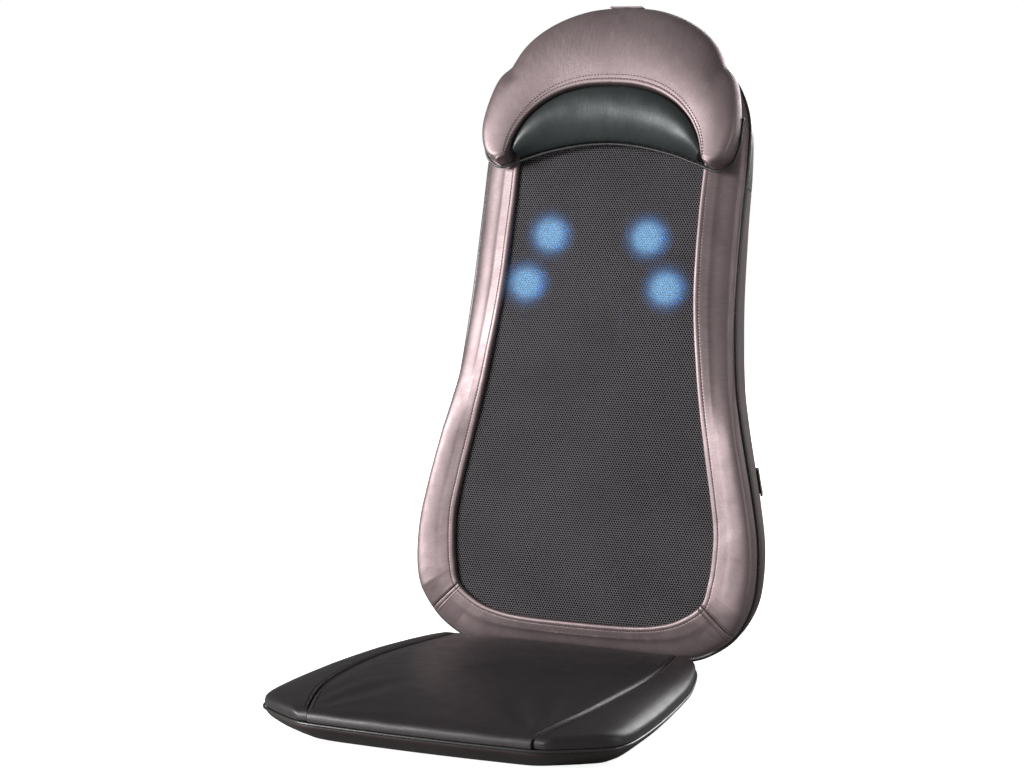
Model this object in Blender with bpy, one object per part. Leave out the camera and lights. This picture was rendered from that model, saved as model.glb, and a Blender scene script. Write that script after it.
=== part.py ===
"""Massage seat topper: back unit with a travelling massage carriage, flip-over head
cushion, fold-up seat pad and a hand controller.  Metres, +Z up, the front faces -Y.
The origin is the centre of the seat pad's underside, on the chair's seat."""
import math

import bpy
import bmesh
import numpy as np
from mathutils import Vector

# ---- back unit: front surface as a spine of tilts from vertical, and its outlines ----
BACK_Y = 0.250
BACK_Z = 0.020
SPINE = [(0.00, 6.6), (0.20, 6.9), (0.35, 8.6), (0.50, 14.5), (0.86, 22.5)]
# half outlines (x, distance up the spine) from bottom centre to top centre, in pairs
OUTER = [(0.0, 0.0), (0.090, 0.0), (0.140, 0.003), (0.170, 0.014), (0.198, 0.036),
         (0.2155, 0.068), (0.2215, 0.103), (0.2200, 0.150), (0.2108, 0.200), (0.1992, 0.250),
         (0.1878, 0.300), (0.1792, 0.350), (0.1720, 0.440), (0.1700, 0.540), (0.1700, 0.615),
         (0.1655, 0.668), (0.1480, 0.710), (0.1200, 0.740), (0.0800, 0.763), (0.0, 0.775)]
INNER = [(0.0, 0.038), (0.070, 0.039), (0.108, 0.044), (0.135, 0.054), (0.159, 0.073),
         (0.1660, 0.099), (0.1690, 0.125), (0.1692, 0.160), (0.1620, 0.205), (0.1530, 0.250),
         (0.1435, 0.300), (0.1355, 0.350), (0.1245, 0.440), (0.1212, 0.540), (0.1212, 0.615),
         (0.1175, 0.656), (0.1050, 0.686), (0.0850, 0.706), (0.0550, 0.719), (0.0, 0.724)]
MITRE_STATION = 4.0
COVER_TOP_STATION = 13.55
LAST_STATION = len(OUTER) - 1.0
PIPING_RADIUS = 0.0028
PIPING_DEPTH = 0.0180
SHELL_WALL = 0.0025
STRAP_STATIONS = (8.15, 8.78)
STRAP_THICK = 0.0017
GAP = 0.0003

# ---- mechanism frame: straight rails on the chord of the front surface ----
CHORD_LOW = 0.130
CHORD_HIGH = 0.555
REST_HEIGHT = 0.4835
REAR_DEPTH = 0.0900
RAIL_X = 0.1220
RAIL_DEPTH = 0.0560
RAIL_RADIUS = 0.0040
RAIL_LOW = -0.362
RAIL_HIGH = 0.096
SCREW_DEPTH = 0.0780
SCREW_RADIUS = 0.0040
TRAVEL_MOTOR_RADIUS = 0.0080
HOUSING_HALF = 0.1080
HOUSING_LOW = -0.0460
HOUSING_HIGH = 0.0300
DISC_X = 0.0780
NODE_ORBIT = 0.0338
NODE_RADIUS = 0.0210
NODE_TILT = 24.0
TIP_DEPTH = 0.0100
WORM_OFFSET = -0.0262
WORM_DEPTH = 0.0525

# ---- seat pad, in plan (x, y) measured from the back's front bottom edge ----
SEAT_EDGE = [(-0.4575, 0.128), (-0.4530, 0.146), (-0.4415, 0.166), (-0.4260, 0.189),
             (-0.4110, 0.2060), (-0.3920, 0.2135), (-0.3610, 0.2157), (-0.3110, 0.2151),
             (-0.2610, 0.2121), (-0.2110, 0.2077), (-0.1610, 0.2015), (-0.1110, 0.1905),
             (-0.0700, 0.1790), (-0.0460, 0.1690), (-0.0340, 0.1580), (-0.0300, 0.1460)]
SEAT_SEAM = [(-0.4615, 0.1290), (-0.3610, 0.1560), (-0.2110, 0.1630), (-0.0610, 0.1480),
             (-0.0300, 0.1400)]
SEAT_FRONT = -0.4615
SEAT_REAR = -0.0300
SEAT_TOP = 0.0394
SEAT_CROWN = 0.0130
SEAT_SPLIT = 0.0245
FOLD_PIVOT = (-0.0200, 0.0360)

# ---- head cushion, in pairs along its length from the top centre to the lobe's end ----
CUSHION_INNER = [(0.0, 0.697), (0.032, 0.695), (0.062, 0.687), (0.087, 0.673), (0.106, 0.655),
                 (0.117, 0.638), (0.1225, 0.626), (0.1255, 0.616), (0.1272, 0.610), (0.1285, 0.606)]
CUSHION_OUTER = [(0.0, 0.803), (0.046, 0.798), (0.085, 0.784), (0.116, 0.7625), (0.141, 0.731),
                 (0.158, 0.702), (0.1665, 0.662), (0.1662, 0.632), (0.158, 0.609), (0.143, 0.5980)]
CUSHION_ARCH = [(0.0, 0.630), (0.026, 0.6285), (0.050, 0.6250), (0.071, 0.6205), (0.088, 0.6160),
                (0.101, 0.6122), (0.110, 0.6090), (0.116, 0.6065)]
CUSHION_PIPING = [(0.1698, 0.662), (0.1695, 0.645), (0.1690, 0.628), (0.1640, 0.6085),
                  (0.1545, 0.5980), (0.142, 0.5936), (0.130, 0.5975), (0.121, 0.6015),
                  (0.110, 0.6052), (0.088, 0.6128), (0.071, 0.6173), (0.050, 0.6218),
                  (0.026, 0.6253), (0.0, 0.6268)]
CUSHION_BACK = -0.0105
CUSHION_PIVOT = (0.0530, 0.7810)
FLAP_HALF = 0.0220

# ---- hand controller and its rear pocket, beside the rails on the flat rear face ----
CONTROLLER_X = -0.0850
CONTROLLER_LOW = -0.230
CONTROLLER_HALF = 0.0240
CONTROLLER_LENGTH = 0.150
CONTROLLER_THICK = 0.0150
BUTTON_PITCH = 0.0200

COLLECTION = None


# ------------------------------------------------------------------ small helpers

def spline(points, value):
    """Catmull-Rom through points, where value counts the points from 0."""
    last = len(points) - 1
    index = min(max(int(math.floor(value)), 0), last - 1)
    part = value - index
    before = np.array(points[max(index - 1, 0)], float)
    start = np.array(points[index], float)
    end = np.array(points[index + 1], float)
    after = np.array(points[min(index + 2, last)], float)
    slope_in = (end - before) * 0.5
    slope_out = (after - start) * 0.5
    square = part * part
    cube = square * part
    return (start * (2 * cube - 3 * square + 1) + slope_in * (cube - 2 * square + part)
            + end * (3 * square - 2 * cube) + slope_out * (cube - square))


def spine_lookup():
    """Height, setback and tilt tables along the back's front surface."""
    steps = np.linspace(0.0, 0.86, 431)
    tilt = np.radians(np.interp(steps, [s[0] for s in SPINE], [s[1] for s in SPINE]))
    middle = (tilt[1:] + tilt[:-1]) * 0.5
    span = np.diff(steps)
    setback = np.concatenate([[0.0], np.cumsum(np.sin(middle) * span)])
    height = np.concatenate([[0.0], np.cumsum(np.cos(middle) * span)])
    return steps, setback, height, tilt


STEPS, SETBACK, HEIGHT, TILT = spine_lookup()


def back_point(x, depth, v):
    """World point at half-width x, depth behind the front surface, v up the spine."""
    inside = min(max(v, 0.0), 0.86)
    extra = v - inside
    tilt = float(np.interp(inside, STEPS, TILT))
    y = float(np.interp(inside, STEPS, SETBACK)) + extra * math.sin(tilt)
    z = float(np.interp(inside, STEPS, HEIGHT)) + extra * math.cos(tilt)
    return Vector((x, BACK_Y + y + depth * math.cos(tilt), BACK_Z + z - depth * math.sin(tilt)))


CHORD_A = back_point(0.0, 0.0, CHORD_LOW)
CHORD_B = back_point(0.0, 0.0, CHORD_HIGH)
RAIL_UP = (CHORD_B - CHORD_A).normalized()
RAIL_BACK = Vector((0.0, RAIL_UP.z, -RAIL_UP.y))
RAIL_ORIGIN = CHORD_A + RAIL_UP * (REST_HEIGHT - CHORD_LOW)


def rail_point(x, depth, up):
    """World point in the mechanism frame: depth behind the chord, up along the rails."""
    return RAIL_ORIGIN + Vector((x, 0.0, 0.0)) + RAIL_BACK * depth + RAIL_UP * up


def to_rear(point, short):
    """Slide a point straight back until it is short of the rear plane by short."""
    depth = (point - RAIL_ORIGIN).dot(RAIL_BACK)
    return point + RAIL_BACK * (REAR_DEPTH - short - depth)


def material(name, colour, roughness, metallic=0.0):
    slot = bpy.data.materials.new(name)
    slot.use_nodes = True
    shader = slot.node_tree.nodes["Principled BSDF"]
    shader.inputs["Base Color"].default_value = (*colour, 1.0)
    shader.inputs["Roughness"].default_value = roughness
    shader.inputs["Metallic"].default_value = metallic
    return slot


def make(name, vertices, faces, slot, origin=None, smooth=True):
    """A named solid with outward faces, its origin where it turns."""
    origin = Vector((0.0, 0.0, 0.0)) if origin is None else Vector(origin)
    mesh = bpy.data.meshes.new(name)
    mesh.from_pydata([tuple(Vector(v) - origin) for v in vertices], [], faces)
    solid = bmesh.new()
    solid.from_mesh(mesh)
    bmesh.ops.remove_doubles(solid, verts=solid.verts, dist=1e-6)
    bmesh.ops.dissolve_degenerate(solid, edges=solid.edges, dist=1e-6)
    bmesh.ops.recalc_face_normals(solid, faces=solid.faces)
    solid.to_mesh(mesh)
    solid.free()
    mesh.polygons.foreach_set("use_smooth", [smooth] * len(mesh.polygons))
    mesh.materials.append(slot)
    part = bpy.data.objects.new(name, mesh)
    part.location = origin
    COLLECTION.objects.link(part)
    return part


def loft(name, rings, slot, closed=False, origin=None, smooth=True, flat_caps=False):
    """Skin rings of equal length; ends are capped unless the loft closes on itself."""
    count = len(rings[0])
    vertices = [point for ring in rings for point in ring]
    faces = []
    spans = len(rings) if closed else len(rings) - 1
    for ring in range(spans):
        after = (ring + 1) % len(rings)
        for step in range(count):
            following = (step + 1) % count
            faces.append((ring * count + step, ring * count + following,
                          after * count + following, after * count + step))
    if not closed:
        for ring in (0, len(rings) - 1):
            loop = [ring * count + step for step in range(count)]
            if flat_caps:
                faces.append(tuple(loop))
                continue
            centre = sum((Vector(vertices[i]) for i in loop), Vector()) / count
            vertices.append(centre)
            hub = len(vertices) - 1
            faces += [(loop[s], loop[(s + 1) % count], hub) for s in range(count)]
    return make(name, vertices, faces, slot, origin, smooth)


def circle(radius, sides, turn=0.0):
    angles = [2 * math.pi * (s + turn) / sides for s in range(sides)]
    return [(radius * math.cos(a), radius * math.sin(a)) for a in angles]


def rod(name, start, end, profile, sides, slot, origin=None):
    """A turned solid along start to end from (distance along, radius) pairs."""
    axis = (Vector(end) - Vector(start)).normalized()
    side = axis.orthogonal().normalized()
    other = axis.cross(side)
    rings = []
    for along, radius in profile:
        centre = Vector(start) + axis * along
        rings.append([centre + side * a + other * b for a, b in circle(radius, sides)])
    return loft(name, rings, slot, origin=origin, flat_caps=True)


def collar(name, start, end, inner, outer, sides, slot, origin=None):
    """A plain sleeve round the axis start to end."""
    start = Vector(start)
    end = Vector(end)
    axis = (end - start).normalized()
    side = axis.orthogonal().normalized()
    other = axis.cross(side)
    rings = []
    for a, b in circle(1.0, sides):
        ray = side * a + other * b
        rings.append([start + ray * inner, start + ray * outer, end + ray * outer,
                      end + ray * inner])
    return loft(name, rings, slot, closed=True, origin=origin)


def rail_block(name, low, high, slot, origin=None):
    """A box between two (x, depth, up) corners of the mechanism frame."""
    corners = []
    for depth in (low[1], high[1]):
        corners.append([rail_point(x, depth, up) for x, up in
                        ((low[0], low[2]), (high[0], low[2]), (high[0], high[2]),
                         (low[0], high[2]))])
    return loft(name, corners, slot, origin=origin, smooth=False, flat_caps=True)


def bored(part, holes):
    """Cut round holes, each (start, end, radius, sides), and keep the result."""
    for start, end, radius, sides in holes:
        length = (Vector(end) - Vector(start)).length
        cutter = rod("cutter", start, end, [(0.0, radius), (length, radius)], sides,
                     part.data.materials[0])
        hole = part.modifiers.new("hole", "BOOLEAN")
        hole.operation = "DIFFERENCE"
        hole.solver = "EXACT"
        hole.object = cutter
        bpy.context.view_layer.update()
        evaluated = part.evaluated_get(bpy.context.evaluated_depsgraph_get())
        cut = bpy.data.meshes.new_from_object(evaluated)
        part.modifiers.clear()
        part.data = cut
        bpy.data.objects.remove(cutter, do_unlink=True)


# ------------------------------------------------------------------ perimeter lofts

def outline_at(station, side):
    """Inner point, outer point and outward normal of the back's outline, in (x, v)."""
    inner = spline(INNER, station)
    outer = spline(OUTER, station)
    ahead = spline(OUTER, min(station + 0.02, LAST_STATION))
    behind = spline(OUTER, max(station - 0.02, 0.0))
    tangent = ahead - behind
    if station < 0.02:
        tangent = np.array((1.0, 0.0))
    if station > LAST_STATION - 0.02:
        tangent = np.array((-1.0, 0.0))
    tangent = tangent / np.linalg.norm(tangent)
    normal = np.array((tangent[1], -tangent[0]))
    flip = np.array((side, 1.0))
    return inner * flip, outer * flip, normal * flip


def section_point(station, side, across, offset, depth, short=None):
    inner, outer, normal = outline_at(station, side)
    flat = inner * (1.0 - across) + outer * across + normal * offset
    point = back_point(float(flat[0]), depth, float(flat[1]))
    return point if short is None else to_rear(point, short)


def full_loop(per_side):
    """Stations right round the back: up the right side and down the left."""
    right = [(1.0, LAST_STATION * s / per_side) for s in range(per_side + 1)]
    left = [(-1.0, LAST_STATION * s / per_side) for s in range(per_side - 1, 0, -1)]
    return right + left


def back_ring(name, section, slot, stations, closed):
    rings = [[section_point(station, side, *point) for point in section]
             for side, station in stations]
    return loft(name, rings, slot, closed=closed, flat_caps=True)


# ------------------------------------------------------------------ back unit

def rear_shell(slot):
    """Bowl-shaped hard shell, open at the front, with a flat rear face."""
    wall = SHELL_WALL
    levels = [(1.0, -0.0038, 0.0225, None), (1.0, -0.0042, 0.0340, None),
              (1.0, -0.0130, 0.0340, 0.0172), (1.0, -0.0240, 0.0340, 0.0),
              (1.0, -0.0240 - wall, 0.0340, wall), (1.0, -0.0130 - wall, 0.0340, 0.0172 + wall),
              (1.0, -0.0042 - wall, 0.0340, None), (1.0, -0.0038 - wall, 0.0225, None)]
    loop = full_loop(40)
    count = len(loop)
    vertices = [section_point(station, side, *level) for level in levels
                for side, station in loop]
    faces = []
    for level in range(len(levels)):
        after = (level + 1) % len(levels)
        if level == 3:
            continue
        for step in range(count):
            following = (step + 1) % count
            faces.append((level * count + step, level * count + following,
                          after * count + following, after * count + step))
    faces.append(tuple(3 * count + step for step in range(count)))
    faces.append(tuple(4 * count + step for step in range(count)))
    shell = make("rear_shell", vertices, faces, slot)
    bored(shell, [(rail_point(0.100, REAR_DEPTH - 0.010, -0.400),
                   rail_point(0.100, REAR_DEPTH + 0.010, -0.400), 0.0072, 20)])


def rear_cover(slot):
    """Leather wrap over the shell's edge, from one shoulder round the bottom."""
    section = [(1.0, 0.0, 0.0220, None), (1.0, 0.0, 0.0340, None),
               (1.0, -0.0085, 0.0340, 0.0150), (1.0, -0.0190, 0.0340, 0.0006),
               (1.0, -0.0202, 0.0340, 0.0013), (1.0, -0.0094, 0.0340, 0.0151),
               (1.0, -0.0021, 0.0340, None), (1.0, -0.0021, 0.0220, None)]
    steps = 30
    right = [(1.0, COVER_TOP_STATION * (1.0 - s / steps)) for s in range(steps + 1)]
    left = [(-1.0, COVER_TOP_STATION * s / steps) for s in range(1, steps + 1)]
    back_ring("rear_cover", section, slot, right + left, False)


def top_gusset(slot):
    """Black side band over the shoulders and the top."""
    section = [(1.0, -0.0008, 0.0220, None), (1.0, -0.0008, 0.0340, None),
               (1.0, -0.0085, 0.0340, 0.0150), (1.0, -0.0100, 0.0340, 0.0156),
               (1.0, -0.0022, 0.0340, None), (1.0, -0.0022, 0.0220, None)]
    steps = 22
    start = COVER_TOP_STATION + 0.03
    span = LAST_STATION - start
    right = [(1.0, start + span * s / steps) for s in range(steps + 1)]
    left = [(-1.0, LAST_STATION - span * s / steps) for s in range(1, steps + 1)]
    back_ring("top_gusset", section, slot, right + left, False)


def front_frame(slot):
    """Flat frame behind the borders that they are stapled to."""
    section = [(0.40, 0.0, 0.0192, None), (0.90, 0.0, 0.0192, None), (0.90, 0.0, 0.0218, None),
               (0.40, 0.0, 0.0218, None)]
    back_ring("front_frame", section, slot, full_loop(30), True)


def mesh_panel(slot):
    """Thin spacer-mesh panel inside the borders, slightly crowned."""
    columns = 8
    rows = 26
    start = 0.55
    end = LAST_STATION - 0.55
    rings = []
    for row in range(rows + 1):
        inner = spline(INNER, start + (end - start) * row / rows)
        half = float(inner[0]) - 0.0008
        fractions = [2.0 * c / columns - 1.0 for c in range(columns + 1)]
        front = [back_point(half * f, 0.0010 - 0.0030 * (1 - f * f), inner[1]) for f in fractions]
        rear = [back_point(half * f, 0.0062, inner[1]) for f in reversed(fractions)]
        rings.append(front + rear)
    loft("mesh_panel", rings, slot, flat_caps=False)


def border(name, slot, stations):
    """Padded leather border between the mesh panel and the piping."""
    section = [(0.008, 0.0, 0.0060, None), (0.008, 0.0, 0.0000, None), (0.06, 0.0, -0.0040, None),
               (0.22, 0.0, -0.0078, None), (0.50, 0.0, -0.0090, None), (0.75, 0.0, -0.0070, None),
               (0.90, -0.0010, -0.0015, None), (1.0, -0.0040, 0.0070, None),
               (1.0, -0.0036, 0.0183, None), (0.44, 0.0, 0.0183, None), (0.32, 0.0, 0.0066, None)]
    back_ring(name, section, slot, stations, False)


def borders(slot):
    low = MITRE_STATION + 0.012
    steps = 26
    climb = [low + (LAST_STATION - low) * s / steps for s in range(steps)]
    border("border_right", slot, [(1.0, s) for s in climb] + [(1.0, LAST_STATION - 0.005)])
    border("border_left", slot, [(-1.0, s) for s in climb] + [(-1.0, LAST_STATION - 0.005)])
    high = MITRE_STATION - 0.012
    steps = 9
    right = [(1.0, high * (1.0 - s / steps)) for s in range(steps + 1)]
    left = [(-1.0, high * s / steps) for s in range(1, steps + 1)]
    border("border_bottom", slot, right + left)


def edge_piping(slot):
    section = [(1.0, a, PIPING_DEPTH + b, None) for a, b in circle(PIPING_RADIUS, 8)]
    back_ring("edge_piping", section, slot, full_loop(44), True)


def strap_rings(low, high, thick):
    """Band sections between matched lower and upper edge paths."""
    rings = []
    for index in range(len(low)):
        before = low[max(index - 1, 0)]
        after = low[min(index + 1, len(low) - 1)]
        normal = (after - before).cross(RAIL_UP).normalized() * thick
        rings.append([low[index], high[index], high[index] + normal, low[index] + normal])
    return rings


def level_path(station, spots):
    """Side path at one height, carried on across the rear face to the other side."""
    side = [section_point(station, 1.0, 1.0, *spot) for spot in spots]
    level = side[0].z
    side = [p - RAIL_UP * ((p.z - level) / RAIL_UP.z) for p in side]
    middle = to_rear(side[-1], -0.0062)
    middle.x = 0.120
    half = side + [middle]
    return half + [Vector((-p.x, p.y, p.z)) for p in reversed(half)]


def straps(slot):
    """Lower strap from side seam to side seam; upper strap sewn to the rear face."""
    spots = [(-0.0056, 0.0340, 0.0230), (-0.0068, 0.0340, 0.0150), (-0.0125, 0.0340, 0.0050),
             (-0.0195, 0.0340, -0.0040)]
    low = level_path(STRAP_STATIONS[0], spots)
    high = level_path(STRAP_STATIONS[1], spots)
    loft("strap_lower", strap_rings(low, high, STRAP_THICK), slot, smooth=False)
    bow = [(0.135, 0.0026), (0.110, 0.0026), (0.070, 0.0100), (0.0, 0.0140), (-0.070, 0.0100),
           (-0.110, 0.0026), (-0.135, 0.0026)]
    low = [rail_point(x, REAR_DEPTH + depth, 0.045) for x, depth in bow]
    high = [rail_point(x, REAR_DEPTH + depth, 0.075) for x, depth in bow]
    loft("strap_upper", strap_rings(low, high, STRAP_THICK), slot, smooth=False)


def fold_gusset(slot):
    """Fabric strip that joins the back's bottom edge to the seat's rear edge."""
    path = [(-0.0245, 0.0285), (-0.0190, 0.0262), (-0.0140, 0.0235), (-0.0110, 0.0205)]
    thick = 0.0020
    rings = []
    for x in (-0.135, 0.135):
        top = [Vector((x, BACK_Y + y, z)) for y, z in path]
        low = [Vector((x, BACK_Y + y, z - thick)) for y, z in reversed(path)]
        rings.append(top + low)
    loft("fold_gusset", rings, slot, flat_caps=True, smooth=False)


def rails(steel, plastic):
    """Two guide rods held by cross bars at both ends."""
    length = RAIL_HIGH - RAIL_LOW
    for name, x in (("guide_rail_left", -RAIL_X), ("guide_rail_right", RAIL_X)):
        rod(name, rail_point(x, RAIL_DEPTH, RAIL_LOW), rail_point(x, RAIL_DEPTH, RAIL_HIGH),
            [(0.0, RAIL_RADIUS), (length, RAIL_RADIUS)], 16, steel)
    spots = (("rail_bracket_bottom", RAIL_LOW + 0.002), ("rail_bracket_top", RAIL_HIGH - 0.014))
    for name, up in spots:
        bar = rail_block(name, (-0.136, 0.0470, up), (0.136, REAR_DEPTH - SHELL_WALL - 0.0004,
                                                      up + 0.012), plastic)
        holes = [(rail_point(x, RAIL_DEPTH, up - 0.01), rail_point(x, RAIL_DEPTH, up + 0.03),
                  RAIL_RADIUS + 0.0002, 16) for x in (-RAIL_X, RAIL_X)]
        holes.append((rail_point(0.0, SCREW_DEPTH, up - 0.01),
                      rail_point(0.0, SCREW_DEPTH, up + 0.03), SCREW_RADIUS + 0.0004, 16))
        bored(bar, holes)


def back_electrics(dark, green, steel):
    """Travel motor, control board and power socket at the bottom of the shell."""
    low = RAIL_LOW - 0.012
    rod("travel_motor", rail_point(0.0, SCREW_DEPTH, low - 0.054),
        rail_point(0.0, SCREW_DEPTH, low),
        [(0.0, 0.0060), (0.002, TRAVEL_MOTOR_RADIUS), (0.036, TRAVEL_MOTOR_RADIUS),
         (0.0362, 0.0070), (0.054, 0.0070)], 20, steel)
    rail_block("control_board", (-0.130, 0.0660, -0.425), (-0.050, 0.0676, -0.373), green)
    rod("power_socket", rail_point(0.100, REAR_DEPTH - 0.0140, -0.400),
        rail_point(0.100, REAR_DEPTH - 0.0003, -0.400),
        [(0.0, 0.0060), (0.0010, 0.0068), (0.0137, 0.0068)], 20, dark)


def controller_rear(leather, rubber):
    """Open-topped pocket for the controller and the cable that reaches it."""
    inner = CONTROLLER_HALF + 0.0012
    outer = inner + 0.0016
    face = REAR_DEPTH + 0.0024
    deep = face + CONTROLLER_THICK + 0.0024
    low = CONTROLLER_LOW + 0.006
    high = CONTROLLER_LOW + 0.072
    section = [(-outer, face), (-outer, deep + 0.0016), (outer, deep + 0.0016), (outer, face),
               (inner, face), (inner, deep), (-inner, deep), (-inner, face)]
    rings = [[rail_point(CONTROLLER_X + x, depth, up) for x, depth in section]
             for up in (low, high)]
    loft("controller_pocket", rings, leather, flat_caps=True, smooth=False)
    path = [(-0.020, -0.330, 0.0046), (-0.030, -0.345, 0.0058), (-0.050, -0.350, 0.0092),
            (-0.070, -0.335, 0.0122), (-0.080, -0.305, 0.0132), (-0.0850, -0.265, 0.0132),
            (-0.0850, -0.2310, 0.0130)]
    dense = [spline(path, s / 3.0) for s in range(3 * (len(path) - 1) + 1)]
    points = [rail_point(float(p[0]), REAR_DEPTH + float(p[2]), float(p[1])) for p in dense]
    tube("controller_cable", points, 0.0021, 8, rubber)


def tube(name, points, radius, sides, slot, origin=None, closed=False):
    """A round cord along points."""
    rings = []
    count = len(points)
    for index, point in enumerate(points):
        if closed:
            along = points[(index + 1) % count] - points[index - 1]
        else:
            along = points[min(index + 1, count - 1)] - points[max(index - 1, 0)]
        along = along.normalized()
        side = along.cross(Vector((0.02, -1.0, 0.05))).normalized()
        other = along.cross(side)
        rings.append([point + side * a + other * b for a, b in circle(radius, sides)])
    return loft(name, rings, slot, closed=closed, origin=origin, flat_caps=True)


# ------------------------------------------------------------------ carriage

def carriage(plastic, bronze, steel):
    """Housing tray with cover, bushes on the rails, nut on the screw and the motor."""
    x = HOUSING_HALF
    outer = [(-x, HOUSING_LOW), (x, HOUSING_LOW), (x, HOUSING_HIGH), (-x, HOUSING_HIGH)]
    wall = 0.0025
    inner = [(-x + wall, HOUSING_LOW + wall), (x - wall, HOUSING_LOW + wall),
             (x - wall, HOUSING_HIGH - wall), (-x + wall, HOUSING_HIGH - wall)]
    levels = [(outer, 0.0700), (outer, 0.0390), (inner, 0.0390), (inner, 0.0675)]
    rings = [[rail_point(a, depth, b) for a, b in shape] for shape, depth in levels]
    loft("carriage_housing", rings, plastic, smooth=False, flat_caps=True)
    cover = rail_block("carriage_cover", (-x, 0.0362, HOUSING_LOW), (x, 0.0387, HOUSING_HIGH),
                       plastic)
    bored(cover, [(rail_point(s * DISC_X, 0.030, 0.0), rail_point(s * DISC_X, 0.045, 0.0),
                   0.0085, 24) for s in (-1.0, 1.0)])
    for row, up in (("lower", -0.0440), ("upper", 0.0080)):
        for side, sign in (("left", -1.0), ("right", 1.0)):
            inside = sign * (x + GAP)
            outside = sign * (RAIL_X + 0.0090)
            block = rail_block("rail_bush_%s_%s" % (row, side),
                               (min(inside, outside), 0.0470, up),
                               (max(inside, outside), 0.0650, up + 0.020), bronze)
            bored(block, [(rail_point(sign * RAIL_X, RAIL_DEPTH, up - 0.01),
                           rail_point(sign * RAIL_X, RAIL_DEPTH, up + 0.03),
                           RAIL_RADIUS + 0.0003, 16)])
    nut = rail_block("screw_nut", (-0.010, 0.0703, -0.020), (0.010, 0.0850, 0.002), bronze)
    bored(nut, [(rail_point(0.0, SCREW_DEPTH, -0.03), rail_point(0.0, SCREW_DEPTH, 0.01),
                 SCREW_RADIUS + 0.0004, 16)])
    collar("massage_motor", rail_point(-0.0290, WORM_DEPTH, WORM_OFFSET),
           rail_point(0.0290, WORM_DEPTH, WORM_OFFSET), 0.0024, 0.0125, 24, steel)


def screw(steel, dark):
    low = RAIL_LOW - 0.0055
    axis = rail_point(0.0, SCREW_DEPTH, 0.0)
    length = RAIL_HIGH - 0.001 - low
    rod("lead_screw", rail_point(0.0, SCREW_DEPTH, low),
        rail_point(0.0, SCREW_DEPTH, low + length),
        [(0.0, SCREW_RADIUS), (length, SCREW_RADIUS)], 12, steel, axis)
    rod("screw_coupler", rail_point(0.0, SCREW_DEPTH, low - 0.0061),
        rail_point(0.0, SCREW_DEPTH, low - 0.0003),
        [(0.0, 0.0060), (0.0058, 0.0060)], 12, dark, axis)


def worm_drive(steel, brass):
    """One shaft through the motor with a worm at each end, of opposite hands."""
    axis = rail_point(0.0, WORM_DEPTH, WORM_OFFSET)
    rod("worm_shaft", rail_point(-0.0960, WORM_DEPTH, WORM_OFFSET),
        rail_point(0.0960, WORM_DEPTH, WORM_OFFSET), [(0.0, 0.0020), (0.1920, 0.0020)], 12,
        steel, axis)
    for name, low, high in (("worm_left", -0.0880, -0.0680), ("worm_right", 0.0680, 0.0880)):
        collar(name, rail_point(low, WORM_DEPTH, WORM_OFFSET),
               rail_point(high, WORM_DEPTH, WORM_OFFSET), 0.0023, 0.0055, 16, brass, axis)


def massage_disc(side, sign, steel, nylon, dark, glow):
    """Turning disc: shaft with worm wheel behind, arm with two lit nodes in front."""
    axis = rail_point(sign * DISC_X, WORM_DEPTH, 0.0)
    tip = TIP_DEPTH
    arm_front = tip + 0.0185
    arm_rear = arm_front + 0.0045
    rod("disc_shaft_" + side, rail_point(sign * DISC_X, arm_rear + GAP, 0.0),
        rail_point(sign * DISC_X, 0.0660, 0.0),
        [(0.0, 0.0065), (0.0060, 0.0065), (0.0061, 0.0045), (0.0660 - arm_rear - GAP, 0.0045)],
        16, steel, axis)
    collar("worm_wheel_" + side, rail_point(sign * DISC_X, 0.0480, 0.0),
           rail_point(sign * DISC_X, 0.0570, 0.0), 0.0048, 0.0202, 28, nylon, axis)
    lean = math.radians(NODE_TILT) * -sign
    along = (math.sin(lean), math.cos(lean))
    across = (along[1], -along[0])
    half = NODE_ORBIT + 0.0125
    shape = []
    for step in range(24):
        angle = 2 * math.pi * step / 24
        reach = half * math.cos(angle)
        width = 0.0150 * math.sin(angle) * (1.0 - 0.18 * math.cos(angle * 2.0))
        shape.append((along[0] * reach + across[0] * width,
                      along[1] * reach + across[1] * width))
    rings = [[rail_point(sign * DISC_X + a, depth, b) for a, b in shape]
             for depth in (arm_front, arm_rear)]
    loft("node_arm_" + side, rings, dark, origin=axis, flat_caps=True, smooth=False)
    for place, way in (("upper", 1.0), ("lower", -1.0)):
        x = sign * DISC_X + along[0] * NODE_ORBIT * way
        up = along[1] * NODE_ORBIT * way
        depth = arm_front - GAP
        height = depth - tip
        profile = [(0.0, 0.0120), (0.0030, 0.0165), (0.0075, NODE_RADIUS * 0.955),
                   (0.0105, NODE_RADIUS * 0.93), (height - 0.0042, 0.0155),
                   (height - 0.0010, 0.0080), (height, 0.0030)]
        rod("massage_node_%s_%s" % (side, place), rail_point(x, depth, up),
            rail_point(x, tip, up), profile, 20, glow, axis)


# ------------------------------------------------------------------ head cushion

def cushion_loft(name, low, high, section, slot, last, steps, origin):
    """Loft between two matched half curves from one end over the middle to the other."""
    rings = []
    right = [(1.0, last * (1.0 - s / steps)) for s in range(steps + 1)]
    left = [(-1.0, last * s / steps) for s in range(1, steps + 1)]
    for side, station in right + left:
        a = spline(low, station)
        b = spline(high, station)
        width = float(np.linalg.norm(b - a))
        swell = min(1.0, 0.35 + width / 0.070)
        ring = []
        for across, depth in section:
            flat = a * (1.0 - across) + b * across
            deep = CUSHION_BACK + (depth - CUSHION_BACK) * swell
            ring.append(back_point(side * float(flat[0]), deep, float(flat[1])))
        rings.append(ring)
    loft(name, rings, slot, origin=origin)


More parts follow.
